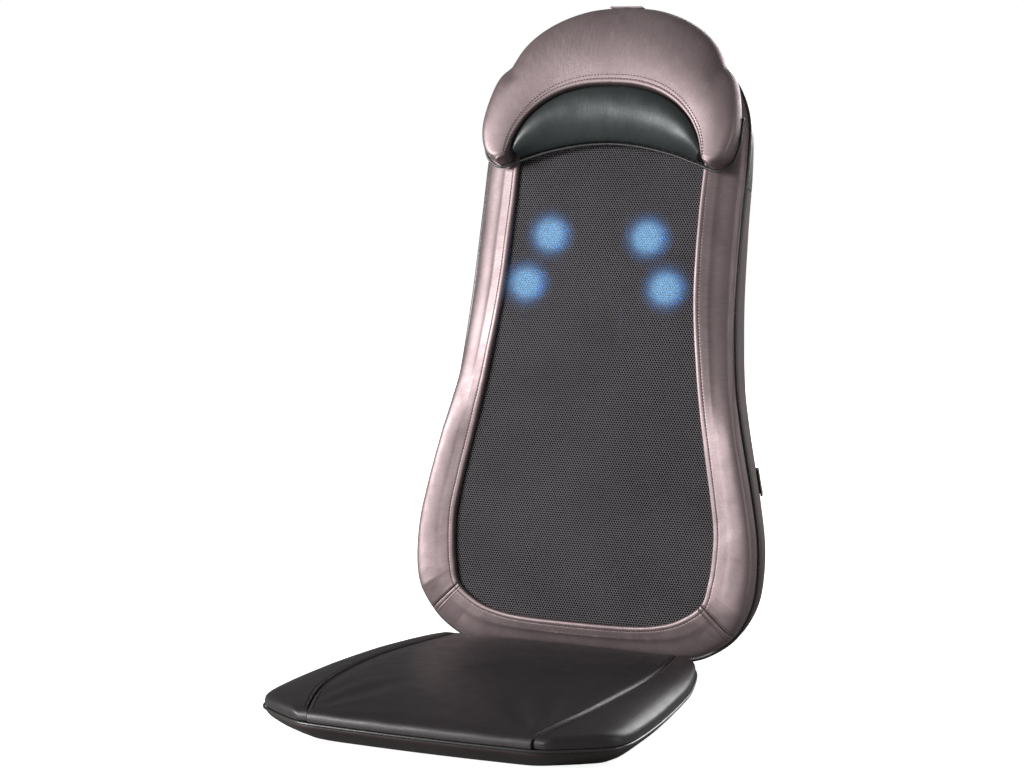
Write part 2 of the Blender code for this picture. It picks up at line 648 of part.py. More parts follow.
def head_cushion(leather, glossy, piping):
    origin = back_point(0.0, *CUSHION_PIVOT)
    pad = [(0.0, CUSHION_BACK), (0.0, -0.0330), (0.10, -0.0410), (0.30, -0.0455),
           (0.55, -0.0440), (0.78, -0.0370), (0.93, -0.0280), (1.0, -0.0180),
           (0.97, CUSHION_BACK)]
    cushion_loft("cushion_pad", CUSHION_INNER, CUSHION_OUTER, pad, leather, 9.0, 22, origin)
    inset = [(a - 0.0006 * (a > 0.01), b - 0.0007) for a, b in CUSHION_INNER]
    insert = [(0.0, CUSHION_BACK), (0.0, -0.0180), (0.10, -0.0290), (0.35, -0.0380),
              (0.65, -0.0390), (0.90, -0.0340), (1.0, -0.0280), (1.0, CUSHION_BACK)]
    cushion_loft("cushion_insert", CUSHION_ARCH, inset, insert, glossy, 6.9, 16, origin)
    steps = 40
    last = len(CUSHION_PIPING) - 1.0
    right = [spline(CUSHION_PIPING, last * s / steps) for s in range(steps + 1)]
    left = [p * np.array((-1.0, 1.0)) for p in reversed(right[:-1])]
    points = [back_point(float(p[0]), -0.0128, float(p[1])) for p in right + left]
    tube("cushion_piping", points, 0.0017, 6, piping, origin)
    path = [(-0.0200, 0.8030), (-0.0100, 0.8051), (0.0080, 0.8041), (0.0260, 0.7989),
            (0.0420, 0.7905), (0.0500, 0.7830)]
    thick = 0.0022
    rings = []
    for x in (-FLAP_HALF, FLAP_HALF):
        top = [back_point(x, depth, v + thick) for depth, v in path]
        low = [back_point(x, depth, v) for depth, v in reversed(path)]
        rings.append(top + low)
    loft("cushion_flap", rings, leather, origin=origin, flat_caps=True, smooth=False)


# ------------------------------------------------------------------ seat pad

def seat_half(y):
    return float(np.interp(y, [p[0] for p in SEAT_EDGE], [p[1] for p in SEAT_EDGE]))


def seam_half(y):
    return float(np.interp(y, [p[0] for p in SEAT_SEAM], [p[1] for p in SEAT_SEAM]))


def seat_front(x):
    return SEAT_FRONT + 0.25 * x * x


def seat_lift(x, y, t):
    """Crown of the pad: nothing at its edges, most a little ahead of its middle."""
    across = min(abs(x) / seat_half(y), 1.0)
    return SEAT_CROWN * (1.0 - across ** 4) * math.sin(math.pi * t ** 0.75)


def edge_height(t):
    """Rolled front and rear edges of the pad."""
    front = min(t / 0.050, 1.0)
    rear = min((1.0 - t) / 0.035, 1.0)
    return 1.0 - 0.5 * ((1.0 - front) ** 2 + (1.0 - rear) ** 2)


SEAT_STATIONS = [0.0, 0.012, 0.035, 0.08, 0.16, 0.27, 0.38, 0.50, 0.62, 0.74, 0.85, 0.93,
                 0.975, 1.0]


def seat_centre(slot, origin):
    base = SEAT_SPLIT + 0.0021
    fractions = [-1.0, -0.95, -0.75, -0.4, 0.0, 0.4, 0.75, 0.95, 1.0]
    rings = []
    for t in SEAT_STATIONS:
        ring = []
        for f in fractions:
            y = seat_front(f * 0.127) * (1 - t) + SEAT_REAR * t
            half = seam_half(y) - 0.0006
            lift = SEAT_TOP + seat_lift(f * half, y, t)
            top = base + (lift - base) * edge_height(t)
            ring.append(Vector((f * half, BACK_Y + y, top)))
        for f in (1.0, 0.0, -1.0):
            y = (seat_front(f * 0.127) + 0.003) * (1 - t) + (SEAT_REAR - 0.002) * t
            ring.append(Vector((f * (seam_half(y) - 0.0006), BACK_Y + y, base)))
        rings.append(ring)
    loft("seat_centre", rings, slot, origin=origin)


def seat_side(name, sign, slot, origin):
    base = SEAT_SPLIT + 0.0021
    fractions = [0.0, 0.06, 0.30, 0.60, 0.85]
    rings = []
    start = SEAT_EDGE[0][0] + 0.0035
    for t in SEAT_STATIONS:
        y = start * (1 - t) + SEAT_REAR * t
        near = seam_half(y) + 0.0006
        far = max(seat_half(y), near + 0.004)
        if t > 0.9:
            far = min(far, near + 0.040)
        top = base + (SEAT_TOP - base) * edge_height(t)
        ring = []
        for f in fractions:
            lift = seat_lift(near + (far - near) * f, y, t) * edge_height(t)
            height = top + lift - 0.0030 * f * f
            ring.append(Vector((sign * (near + (far - near) * f), BACK_Y + y, height)))
        for f, height in ((0.97, top - 0.0050), (1.0, (top + base) / 2 - 0.0015), (0.985, base)):
            ring.append(Vector((sign * (near + (far - near) * f), BACK_Y + y, height)))
        ring.append(Vector((sign * near, BACK_Y + y, base)))
        rings.append(ring)
    loft(name, rings, slot, origin=origin)


def seat_outline():
    """Right half of the seat in plan from rear centre to front centre, evenly read."""
    rear = [(x, SEAT_REAR) for x in (0.0, 0.050, 0.100)]
    side = [(x, y) for y, x in reversed(SEAT_EDGE)]
    front = [(x, seat_front(x)) for x in (0.095, 0.060, 0.030, 0.0)]
    return rear + side + front


def seat_loop(offset):
    """Closed plan loop moved outward by offset."""
    half = [np.array(p) for p in seat_outline()]
    loop = half + [p * np.array((-1.0, 1.0)) for p in reversed(half[1:-1])]
    count = len(loop)
    moved = []
    for index in range(count):
        tangent = loop[(index + 1) % count] - loop[index - 1]
        tangent = tangent / np.linalg.norm(tangent)
        moved.append(loop[index] + np.array((-tangent[1], tangent[0])) * offset)
    return moved


def seat_base(slot, origin):
    """Tray under the pad: tapered band, floor, open at the top."""
    top = SEAT_SPLIT - 0.0021
    levels = [(-0.0010, top), (-0.0090, 0.0125), (-0.0330, 0.0), (-0.0355, 0.0025),
              (-0.0120, 0.0140), (-0.0040, top)]
    rings = []
    for offset, z in levels:
        rings.append([Vector((float(p[0]), BACK_Y + float(p[1]), z)) for p in seat_loop(offset)])
    count = len(rings[0])
    vertices = [point for ring in rings for point in ring]
    faces = []
    for level in range(len(rings)):
        if level == 2:
            continue
        after = (level + 1) % len(rings)
        for step in range(count):
            following = (step + 1) % count
            faces.append((level * count + step, level * count + following,
                          after * count + following, after * count + step))
    faces.append(tuple(2 * count + step for step in range(count)))
    faces.append(tuple(3 * count + step for step in range(count)))
    make("seat_base", vertices, faces, slot, origin)


def seat_pad(leather, band, piping, steel, brass):
    origin = Vector((0.0, BACK_Y + FOLD_PIVOT[0], FOLD_PIVOT[1]))
    seat_centre(leather, origin)
    seat_side("seat_side_left", -1.0, leather, origin)
    seat_side("seat_side_right", 1.0, leather, origin)
    seat_base(band, origin)
    points = [Vector((float(p[0]), BACK_Y + float(p[1]), SEAT_SPLIT)) for p in seat_loop(0.0006)]
    rings = []
    for index, point in enumerate(points):
        along = (points[(index + 1) % len(points)] - points[index - 1]).normalized()
        side = along.cross(Vector((0.0, 0.0, 1.0)))
        rings.append([point + side * a + Vector((0.0, 0.0, b)) for a, b in circle(0.0017, 6)])
    loft("seat_piping", rings, piping, closed=True, origin=origin)
    y = BACK_Y - 0.230
    rod("vibration_motor", (-0.030, y, 0.0130), (0.020, y, 0.0130),
        [(0.0, 0.0088), (0.038, 0.0088), (0.0382, 0.0020), (0.050, 0.0020)], 18, steel, origin)
    turns = [math.pi * s / 10 for s in range(11)]
    shape = [(0.0082 * math.cos(a), 0.0020 - 0.0082 * math.sin(a)) for a in turns]
    rings = [[Vector((x, y + a, 0.0130 + b - 0.0035)) for a, b in shape]
             for x in (0.0204, 0.0300)]
    loft("vibration_weight", rings, brass, origin=(0.0, y, 0.0130), flat_caps=True, smooth=False)


# ------------------------------------------------------------------ hand controller

def hand_controller(dark, grey):
    """Slim handset with buttons on its rear-facing side, standing in its pocket."""
    face = REAR_DEPTH + 0.0034
    half = CONTROLLER_HALF
    low = CONTROLLER_LOW + 0.002
    high = low + CONTROLLER_LENGTH
    corner = 0.010
    shape = []
    for centre_x, centre_up, start in ((half - corner, high - corner, 0.0),
                                       (corner - half, high - corner, 90.0),
                                       (corner - half, low + corner, 180.0),
                                       (half - corner, low + corner, 270.0)):
        for step in range(5):
            angle = math.radians(start + 22.5 * step)
            shape.append((centre_x + corner * math.cos(angle),
                          centre_up + corner * math.sin(angle)))
    middle = (low + high) / 2
    rings = []
    for inset, depth in ((0.0025, 0.0), (0.0, 0.003), (0.0, CONTROLLER_THICK - 0.003),
                         (0.0030, CONTROLLER_THICK)):
        scale_x = (half - inset) / half
        scale_up = (CONTROLLER_LENGTH / 2 - inset) / (CONTROLLER_LENGTH / 2)
        rings.append([rail_point(CONTROLLER_X + a * scale_x, face + depth,
                                 middle + (b - middle) * scale_up) for a, b in shape])
    origin = rail_point(CONTROLLER_X, face, low)
    body = loft("controller_body", rings, dark, origin=origin, flat_caps=True)
    wells = []
    for index, name in enumerate(("button_power", "button_massage", "button_heat")):
        centre = high - 0.020 - BUTTON_PITCH * index
        start = rail_point(CONTROLLER_X, face + CONTROLLER_THICK - 0.0018, centre)
        end = rail_point(CONTROLLER_X, face + CONTROLLER_THICK + 0.0016, centre)
        rod(name, start, end, [(0.0, 0.0065), (0.0028, 0.0065), (0.0034, 0.0055)], 16, grey,
            start)
        wells.append((rail_point(CONTROLLER_X, face + CONTROLLER_THICK - 0.0032, centre),
                      rail_point(CONTROLLER_X, face + CONTROLLER_THICK + 0.0100, centre),
                      0.0069, 16))
    bored(body, wells)


# ------------------------------------------------------------------ assembly

def clear_scene():
    for item in list(bpy.data.objects):
        bpy.data.objects.remove(item, do_unlink=True)


def build():
    global COLLECTION
    clear_scene()
    COLLECTION = bpy.data.collections.new("massage_seat_topper")
    bpy.context.scene.collection.children.link(COLLECTION)
    brown = material("satin_brown_leather", (0.235, 0.170, 0.165), 0.38)
    cover = material("cover_brown_leather", (0.110, 0.062, 0.060), 0.45)
    seat = material("seat_dark_leather", (0.035, 0.028, 0.029), 0.36)
    glossy = material("glossy_black_leather", (0.022, 0.026, 0.026), 0.22)
    piping = material("piping_black", (0.012, 0.012, 0.012), 0.22)
    fabric = material("spacer_mesh", (0.070, 0.062, 0.066), 0.75)
    webbing = material("webbing_black", (0.018, 0.018, 0.020), 0.80)
    black = material("black_abs", (0.020, 0.020, 0.021), 0.45)
    grey = material("grey_abs", (0.300, 0.300, 0.310), 0.42)
    nylon = material("white_nylon", (0.780, 0.770, 0.730), 0.40)
    glow = material("node_blue", (0.300, 0.620, 0.950), 0.25)
    steel = material("bright_steel", (0.620, 0.620, 0.630), 0.25, 1.0)
    brass = material("brass", (0.720, 0.530, 0.250), 0.30, 1.0)
    green = material("board_green", (0.030, 0.160, 0.070), 0.50)
    rubber = material("cable_rubber", (0.015, 0.015, 0.015), 0.60)
    rear_shell(black)
    rear_cover(cover)
    top_gusset(glossy)
    front_frame(black)
    mesh_panel(fabric)
    borders(brown)
    edge_piping(piping)
    straps(webbing)
    fold_gusset(webbing)
    rails(steel, black)
    back_electrics(black, green, steel)
    controller_rear(seat, rubber)
    carriage(grey, brass, steel)
    screw(steel, black)
    worm_drive(steel, brass)
    massage_disc("left", -1.0, steel, nylon, black, glow)
    massage_disc("right", 1.0, steel, nylon, black, glow)
    head_cushion(brown, glossy, piping)
    seat_pad(seat, cover, piping, steel, brass)
    hand_controller(black, grey)


build()
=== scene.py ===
import math

import bmesh
import bpy
import numpy as np
from mathutils import Matrix, Vector
from mathutils.noise import noise


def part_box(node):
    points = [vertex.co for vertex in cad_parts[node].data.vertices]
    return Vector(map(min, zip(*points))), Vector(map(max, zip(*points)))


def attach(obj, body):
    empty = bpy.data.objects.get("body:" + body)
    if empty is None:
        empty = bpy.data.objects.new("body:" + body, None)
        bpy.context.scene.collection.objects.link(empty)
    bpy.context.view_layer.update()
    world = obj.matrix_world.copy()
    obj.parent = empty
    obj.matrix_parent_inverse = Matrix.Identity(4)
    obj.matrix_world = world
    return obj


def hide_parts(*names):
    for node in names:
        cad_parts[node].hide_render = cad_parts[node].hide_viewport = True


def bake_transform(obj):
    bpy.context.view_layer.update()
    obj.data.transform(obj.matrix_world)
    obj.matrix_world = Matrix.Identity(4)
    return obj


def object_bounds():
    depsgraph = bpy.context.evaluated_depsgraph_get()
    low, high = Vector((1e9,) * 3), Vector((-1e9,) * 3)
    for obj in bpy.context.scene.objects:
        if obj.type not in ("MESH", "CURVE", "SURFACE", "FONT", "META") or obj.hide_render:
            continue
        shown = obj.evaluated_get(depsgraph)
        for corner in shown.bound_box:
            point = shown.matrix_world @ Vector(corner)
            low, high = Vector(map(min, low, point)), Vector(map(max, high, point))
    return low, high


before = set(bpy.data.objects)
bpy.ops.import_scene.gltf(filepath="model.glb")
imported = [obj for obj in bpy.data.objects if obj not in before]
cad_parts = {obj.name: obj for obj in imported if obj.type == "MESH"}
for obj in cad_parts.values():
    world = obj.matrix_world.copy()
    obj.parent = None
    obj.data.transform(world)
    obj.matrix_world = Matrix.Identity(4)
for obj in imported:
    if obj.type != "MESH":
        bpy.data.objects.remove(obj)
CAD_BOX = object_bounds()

# Looks of the massage seat topper.  Metres, +Z up, the front faces -Y.  The curves below are
# the ones the CAD solids follow, so every piece sits in the space its own solid holds.

# ---- back unit: tilts from vertical up the front surface, and the border's two outlines ----
SEAT_REAR = -0.03
BACK_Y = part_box("seat_centre")[1].y - SEAT_REAR
BACK_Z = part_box("seat_base")[0].z + 0.02
SPINE = [(0.0, 6.6), (0.2, 6.9), (0.35, 8.6), (0.5, 14.5), (0.86, 22.5)]
SPINE_LENGTH = SPINE[-1][0]
OUTER = [
    (0.0, 0.0), (0.09, 0.0), (0.14, 0.003), (0.17, 0.014), (0.198, 0.036), (0.2155, 0.068),
    (0.2215, 0.103), (0.22, 0.15), (0.2108, 0.2), (0.1992, 0.25), (0.1878, 0.3), (0.1792, 0.35),
    (0.172, 0.44), (0.17, 0.54), (0.17, 0.615), (0.1655, 0.668), (0.148, 0.71), (0.12, 0.74),
    (0.08, 0.763), (0.0, 0.775)]
INNER = [
    (0.0, 0.038), (0.07, 0.039), (0.108, 0.044), (0.135, 0.054), (0.159, 0.073), (0.166, 0.099),
    (0.169, 0.125), (0.1692, 0.16), (0.162, 0.205), (0.153, 0.25), (0.1435, 0.3), (0.1355, 0.35),
    (0.1245, 0.44), (0.1212, 0.54), (0.1212, 0.615), (0.1175, 0.656), (0.105, 0.686), (0.085, 0.706),
    (0.055, 0.719), (0.0, 0.724)]
LAST_STATION = len(OUTER) - 1.0
MITRE_STATION = 4.0
COVER_TOP_STATION = 13.55
PIPING_RADIUS = 0.0028
PIPING_DEPTH = 0.018

# ---- mechanism frame: the rails' chord of the front surface, and the flat rear face ----
CHORD_LOW = 0.13
CHORD_HIGH = 0.555
REST_HEIGHT = 0.4835
REAR_DEPTH = 0.09
DISC_X = 0.078
NODE_ORBIT = 0.0338
NODE_TILT = 24.0
# the GLOW values place and size the painted glow discs in front of the nodes
GLOW_DEPTH = 0.0088
GLOW_RADIUS = 0.0445
GLOW_SHIFT = -0.011

# ---- seat pad in plan, from the back's front bottom edge ----
SEAT_EDGE = [
    (-0.4575, 0.128), (-0.453, 0.146), (-0.4415, 0.166), (-0.426, 0.189), (-0.411, 0.206),
    (-0.392, 0.2135), (-0.361, 0.2157), (-0.311, 0.2151), (-0.261, 0.2121), (-0.211, 0.2077),
    (-0.161, 0.2015), (-0.111, 0.1905), (-0.07, 0.179), (-0.046, 0.169), (-0.034, 0.158),
    (-0.03, 0.146)]
SEAT_SEAM = [(-0.4615, 0.129), (-0.361, 0.156), (-0.211, 0.163), (-0.061, 0.148), (-0.03, 0.14)]
SEAT_FRONT = -0.4615
SEAT_TOP = 0.0394
SEAT_CROWN = 0.013
SEAT_SPLIT = 0.0245

# ---- head cushion: matched half curves from the top centre to the lobe's end ----
CUSHION_INNER = [
    (0.0, 0.697), (0.032, 0.695), (0.062, 0.687), (0.087, 0.673), (0.106, 0.655), (0.117, 0.638),
    (0.1225, 0.626), (0.1255, 0.616), (0.1272, 0.61), (0.1285, 0.606)]
CUSHION_OUTER = [
    (0.0, 0.803), (0.046, 0.798), (0.085, 0.784), (0.116, 0.7625), (0.141, 0.731), (0.158, 0.702),
    (0.1665, 0.662), (0.1662, 0.632), (0.158, 0.609), (0.143, 0.598)]
CUSHION_ARCH = [
    (0.0, 0.63), (0.026, 0.6285), (0.05, 0.625), (0.071, 0.6205), (0.088, 0.616), (0.101, 0.6122),
    (0.11, 0.609), (0.116, 0.6065)]
CUSHION_PIPING = [
    (0.168, 0.662), (0.1678, 0.645), (0.1674, 0.628), (0.1626, 0.6095), (0.1535, 0.5992),
    (0.142, 0.5946), (0.13, 0.5977), (0.121, 0.6015), (0.11, 0.6052), (0.088, 0.6128), (0.071, 0.6173),
    (0.05, 0.6218), (0.026, 0.6253), (0.0, 0.6268)]
CUSHION_BACK = -0.0105
FLAP_HALF = 0.022

# ---- hand controller ----
CONTROLLER_X = -0.085
CONTROLLER_LOW = -0.23
CONTROLLER_HALF = 0.024
CONTROLLER_THICK = 0.015

# ---- camera at the photograph's viewing angle ----
CAMERA_AZIMUTH = 22.853
CAMERA_ELEVATION = 6.596
CAMERA_ROLL = 0.5525
CAMERA_DISTANCE = 2.9067
CAMERA_TARGET = Vector((-0.0741, 0.2188, 0.3508))
CAMERA_LENS = 84.4


# ---- curves of the frame ----

def spline(points, value):
    """Catmull-Rom through points, where value counts the points from 0."""
    last = len(points) - 1
    index = min(max(int(math.floor(value)), 0), last - 1)
    part = value - index
    before = np.array(points[max(index - 1, 0)], float)
    start = np.array(points[index], float)
    end = np.array(points[index + 1], float)
    after = np.array(points[min(index + 2, last)], float)
    slope_in = (end - before) * 0.5
    slope_out = (after - start) * 0.5
    square = part * part
    cube = square * part
    return (start * (2 * cube - 3 * square + 1) + slope_in * (cube - 2 * square + part)
            + end * (3 * square - 2 * cube) + slope_out * (cube - square))


def smooth_line(points, per_span):
    """Points of a Catmull-Rom line through points, per_span steps to each span."""
    spans = len(points) - 1
    return [spline(points, s / per_span) for s in range(spans * per_span + 1)]


def spine_lookup():
    """Height, setback and tilt tables along the back's front surface."""
    steps = np.linspace(0.0, SPINE_LENGTH, 431)
    tilt = np.radians(np.interp(steps, [s[0] for s in SPINE], [s[1] for s in SPINE]))
    middle = (tilt[1:] + tilt[:-1]) * 0.5
    span = np.diff(steps)
    setback = np.concatenate([[0.0], np.cumsum(np.sin(middle) * span)])
    height = np.concatenate([[0.0], np.cumsum(np.cos(middle) * span)])
    return steps, setback, height, tilt


STEPS, SETBACK, HEIGHT, TILT = spine_lookup()


def back_point(x, depth, v):
    """World point at half-width x, depth behind the front surface, v up the spine."""
    inside = min(max(v, 0.0), SPINE_LENGTH)
    extra = v - inside
    tilt = np.interp(inside, STEPS, TILT)
    y = np.interp(inside, STEPS, SETBACK) + extra * math.sin(tilt)
    z = np.interp(inside, STEPS, HEIGHT) + extra * math.cos(tilt)
    return Vector((x, BACK_Y + y + depth * math.cos(tilt), BACK_Z + z - depth * math.sin(tilt)))


CHORD_A = back_point(0.0, 0.0, CHORD_LOW)
CHORD_B = back_point(0.0, 0.0, CHORD_HIGH)
RAIL_UP = (CHORD_B - CHORD_A).normalized()
RAIL_BACK = Vector((0.0, RAIL_UP.z, -RAIL_UP.y))
RAIL_ORIGIN = CHORD_A + RAIL_UP * (REST_HEIGHT - CHORD_LOW)


def rail_point(x, depth, up):
    """World point in the mechanism frame: depth behind the chord, up along the rails."""
    return RAIL_ORIGIN + Vector((x, 0.0, 0.0)) + RAIL_BACK * depth + RAIL_UP * up


def to_rear(point, short):
    """Slide a point straight back until it is short of the rear plane by short."""
    depth = (point - RAIL_ORIGIN).dot(RAIL_BACK)
    return point + RAIL_BACK * (REAR_DEPTH - short - depth)


def outline_at(station, side):
    """Inner point, outer point and outward normal of the border, in (x, v)."""
    inner = spline(INNER, station)
    outer = spline(OUTER, station)
    ahead = spline(OUTER, min(station + 0.02, LAST_STATION))
    behind = spline(OUTER, max(station - 0.02, 0.0))
    tangent = ahead - behind
    if station < 0.02:
        tangent = np.array((1.0, 0.0))
    if station > LAST_STATION - 0.02:
        tangent = np.array((-1.0, 0.0))
    tangent = tangent / np.linalg.norm(tangent)
    normal = np.array((tangent[1], -tangent[0]))
    flip = np.array((side, 1.0))
    return inner * flip, outer * flip, normal * flip


def band_point(station, side, near, across, offset, depth):
    """Point of the border: near metres plus the share across from its inner edge."""
    inner, outer, normal = outline_at(station, side)
    span = outer - inner
    flat = inner + span / np.linalg.norm(span) * near + span * across + normal * offset
    return back_point(flat[0], depth, flat[1])


def mirrored(stations):
    """(side, station) pairs along the right side, then back along the left one."""
    stations = list(stations)
    return [(1.0, s) for s in stations] + [(-1.0, s) for s in reversed(stations[:-1])]


# ---- mesh helpers ----

def finish_mesh(name, mesh, key, body, crease):
    """Outward smooth-shaded faces with sharp creases, in the material of a slot's key."""
    solid = bmesh.new()
    solid.from_mesh(mesh)
    bmesh.ops.recalc_face_normals(solid, faces=solid.faces)
    solid.to_mesh(mesh)
    solid.free()
    mesh.polygons.foreach_set("use_smooth", [True] * len(mesh.polygons))
    mesh.set_sharp_from_angle(angle=math.radians(crease))
    mesh.materials.append(SLOTS[key])
    piece = bpy.data.objects.new(name, mesh)
    bpy.context.scene.collection.objects.link(piece)
    if body is not None:
        take_place(piece, name, body)
    return piece


def take_place(piece, name, body):
    """Ride on a body, and stand in for the frame's piece of the same name."""
    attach(piece, body)
    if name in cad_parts:
        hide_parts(name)


def loft(name, rings, key, body, closed=False, open_sheet=False, crease=50.0):
    """Skin rings of equal length.  UVs are metres along the loft and round each ring."""
    count = len(rings[0])
    vertices = [tuple(point) for ring in rings for point in ring]
    grid = np.array(vertices).reshape(len(rings), count, 3)
    around = np.linalg.norm(np.diff(grid, axis=1, append=grid[:, :1]), axis=2)
    around = np.concatenate([np.zeros((len(rings), 1)), np.cumsum(around, axis=1)], axis=1)
    along = np.linalg.norm(np.diff(grid.mean(axis=1), axis=0), axis=1)
    along = np.concatenate([[0.0], np.cumsum(along), [np.sum(along)]])
    spans = len(rings) if closed else len(rings) - 1
    steps = count - 1 if open_sheet else count
    faces = []
    corners = []
    for ring in range(spans):
        after = (ring + 1) % len(rings)
        for step in range(steps):
            following = (step + 1) % count
            faces.append((ring * count + step, ring * count + following,
                          after * count + following, after * count + step))
            corners += [(along[ring], around[ring][step]), (along[ring], around[ring][step + 1]),
                        (along[ring + 1], around[after][step + 1]),
                        (along[ring + 1], around[after][step])]
    if not closed and not open_sheet:
        for ring in (0, len(rings) - 1):
            faces.append(tuple(ring * count + step for step in range(count)))
            corners += [(along[ring], around[ring][step]) for step in range(count)]
    mesh = bpy.data.meshes.new(name)
    mesh.from_pydata(vertices, [], faces)
    layer = mesh.uv_layers.new(name="Metres")
    layer.data.foreach_set("uv", np.array(corners, float).ravel())
    return finish_mesh(name, mesh, key, body, crease)


def circle(centre, first, second, radius, sides):
    """Points round a centre in the plane of two unit directions."""
    return [centre + (first * math.cos(a) + second * math.sin(a)) * radius
            for a in np.linspace(0.0, math.tau, sides, endpoint=False)]


def tube(name, points, radius, sides, key, body, closed=False):
    """A round cord along points, with rounded ends when it is open."""
    rings = []
    count = len(points)
    for index, point in enumerate(points):
        if closed:
            along = points[(index + 1) % count] - points[index - 1]
        else:
            along = points[min(index + 1, count - 1)] - points[max(index - 1, 0)]
        along = along.normalized()
        side = along.cross(Vector((0.02, -1.0, 0.05))).normalized()
        ends = min(index, count - 1 - index)
        share = 1.0 if closed or ends > 1 else (0.45, 0.85)[ends]
        rings.append(circle(point, side, along.cross(side), radius * share, sides))
    return loft(name, rings, key, body, closed=closed)


def resample(points, pitch):
    """Evenly spaced (point, direction) pairs along a line of points."""
    cloud = np.array([tuple(p) for p in points])
    lengths = np.concatenate([[0.0], np.cumsum(np.linalg.norm(np.diff(cloud, axis=0), axis=1))])
    places = np.arange(pitch / 2, lengths[-1], pitch)
    spots = np.stack([np.interp(places, lengths, cloud[:, k]) for k in range(3)], axis=1)
    ahead = np.stack([np.interp(places + 0.001, lengths, cloud[:, k]) for k in range(3)], axis=1)
    behind = np.stack([np.interp(places - 0.001, lengths, cloud[:, k]) for k in range(3)], axis=1)
    return [(Vector(s), Vector(a - b).normalized()) for s, a, b in zip(spots, ahead, behind)]


STITCH_PITCH = 0.004
STITCH_LENGTH = 0.0029
STITCH_RADIUS = 0.00042
STITCH_RINGS = ((-0.5, 0.35), (-0.36, 0.85), (0.0, 1.0), (0.36, 0.85), (0.5, 0.35))


def stitches(name, lines, key, body, front=Vector((0.0, -1.0, 0.25)), sink=0.3):
    """Rows of separate thread stitches along lines, all in one mesh."""
    vertices = []
    faces = []
    for line in lines:
        for spot, along in resample(line, STITCH_PITCH):
            side = along.cross(front).normalized()
            rise = side.cross(along).normalized()
            slanted = (along + side * 0.12).normalized()
            base = len(vertices)
            for reach, share in STITCH_RINGS:
                lift = STITCH_RADIUS * (share - sink - 0.6 * abs(reach))
                centre = spot + slanted * reach * STITCH_LENGTH + rise * lift
                for step in range(6):
                    angle = math.pi * step / 3.0
                    ray = side * math.cos(angle) + rise * math.sin(angle)
                    vertices.append(tuple(centre + ray * STITCH_RADIUS * share))
            for ring in range(len(STITCH_RINGS) - 1):
                for step in range(6):
                    a = base + ring * 6 + step
                    b = base + ring * 6 + (step + 1) % 6
                    faces.append((a, b, b + 6, a + 6))
            end = base + 6 * (len(STITCH_RINGS) - 1)
            faces.append(tuple(base + s for s in range(6)))
            faces.append(tuple(end + s for s in range(6)))
    mesh = bpy.data.meshes.new(name)
    mesh.from_pydata(vertices, [], faces)
    return finish_mesh(name, mesh, key, body, 80.0)


CLOTH = {"quality": 6, "mass": 0.25, "tension_stiffness": 18.0, "compression_stiffness": 12.0,
         "shear_stiffness": 6.0, "bending_stiffness": 1.5, "use_pressure": True,
         "vertex_group_mass": "sewn"}
CLOTH_FRAMES = 20


def places(mesh):
    """The mesh's vertex coordinates as rows."""
    flat = np.zeros(len(mesh.vertices) * 3)
    mesh.vertices.foreach_get("co", flat)
    return flat.reshape(-1, 3)


def inflate(piece, free, pressure, cap):
    """Puff a closed piece by cloth simulation; free is each vertex's share of movement."""
    rest = places(piece.data)
    group = piece.vertex_groups.new(name="sewn")
    for index, share in enumerate(free):
        if share < 0.02:
            group.add([index], 1.0, "REPLACE")
    cloth = piece.modifiers.new("cloth", "CLOTH")
    for key, value in CLOTH.items():
        setattr(cloth.settings, key, value)
    cloth.settings.uniform_pressure_force = pressure
    cloth.settings.effector_weights.gravity = 0.0
    cloth.point_cache.frame_start = 1
    cloth.point_cache.frame_end = CLOTH_FRAMES
    scene = bpy.context.scene
    for step in range(CLOTH_FRAMES):
        scene.frame_set(step + 1)
    moved = places(piece.evaluated_get(bpy.context.evaluated_depsgraph_get()).data) - rest
    piece.modifiers.remove(cloth)
    scene.frame_set(1)
    length = np.linalg.norm(moved, axis=1)
    scale = np.minimum(1.0, cap * np.array(free) / np.maximum(length, 1e-9))
    piece.data.vertices.foreach_set("co", (rest + moved * scale[:, None]).ravel())
    piece.data.update()


def ripple(point, scale, height, seed=0.0):
    """Seeded gentle unevenness of sewn leather, as a length."""
    return noise(Vector((point.x * scale + seed, point.y * scale, point.z * scale))) * height


# ---- materials ----

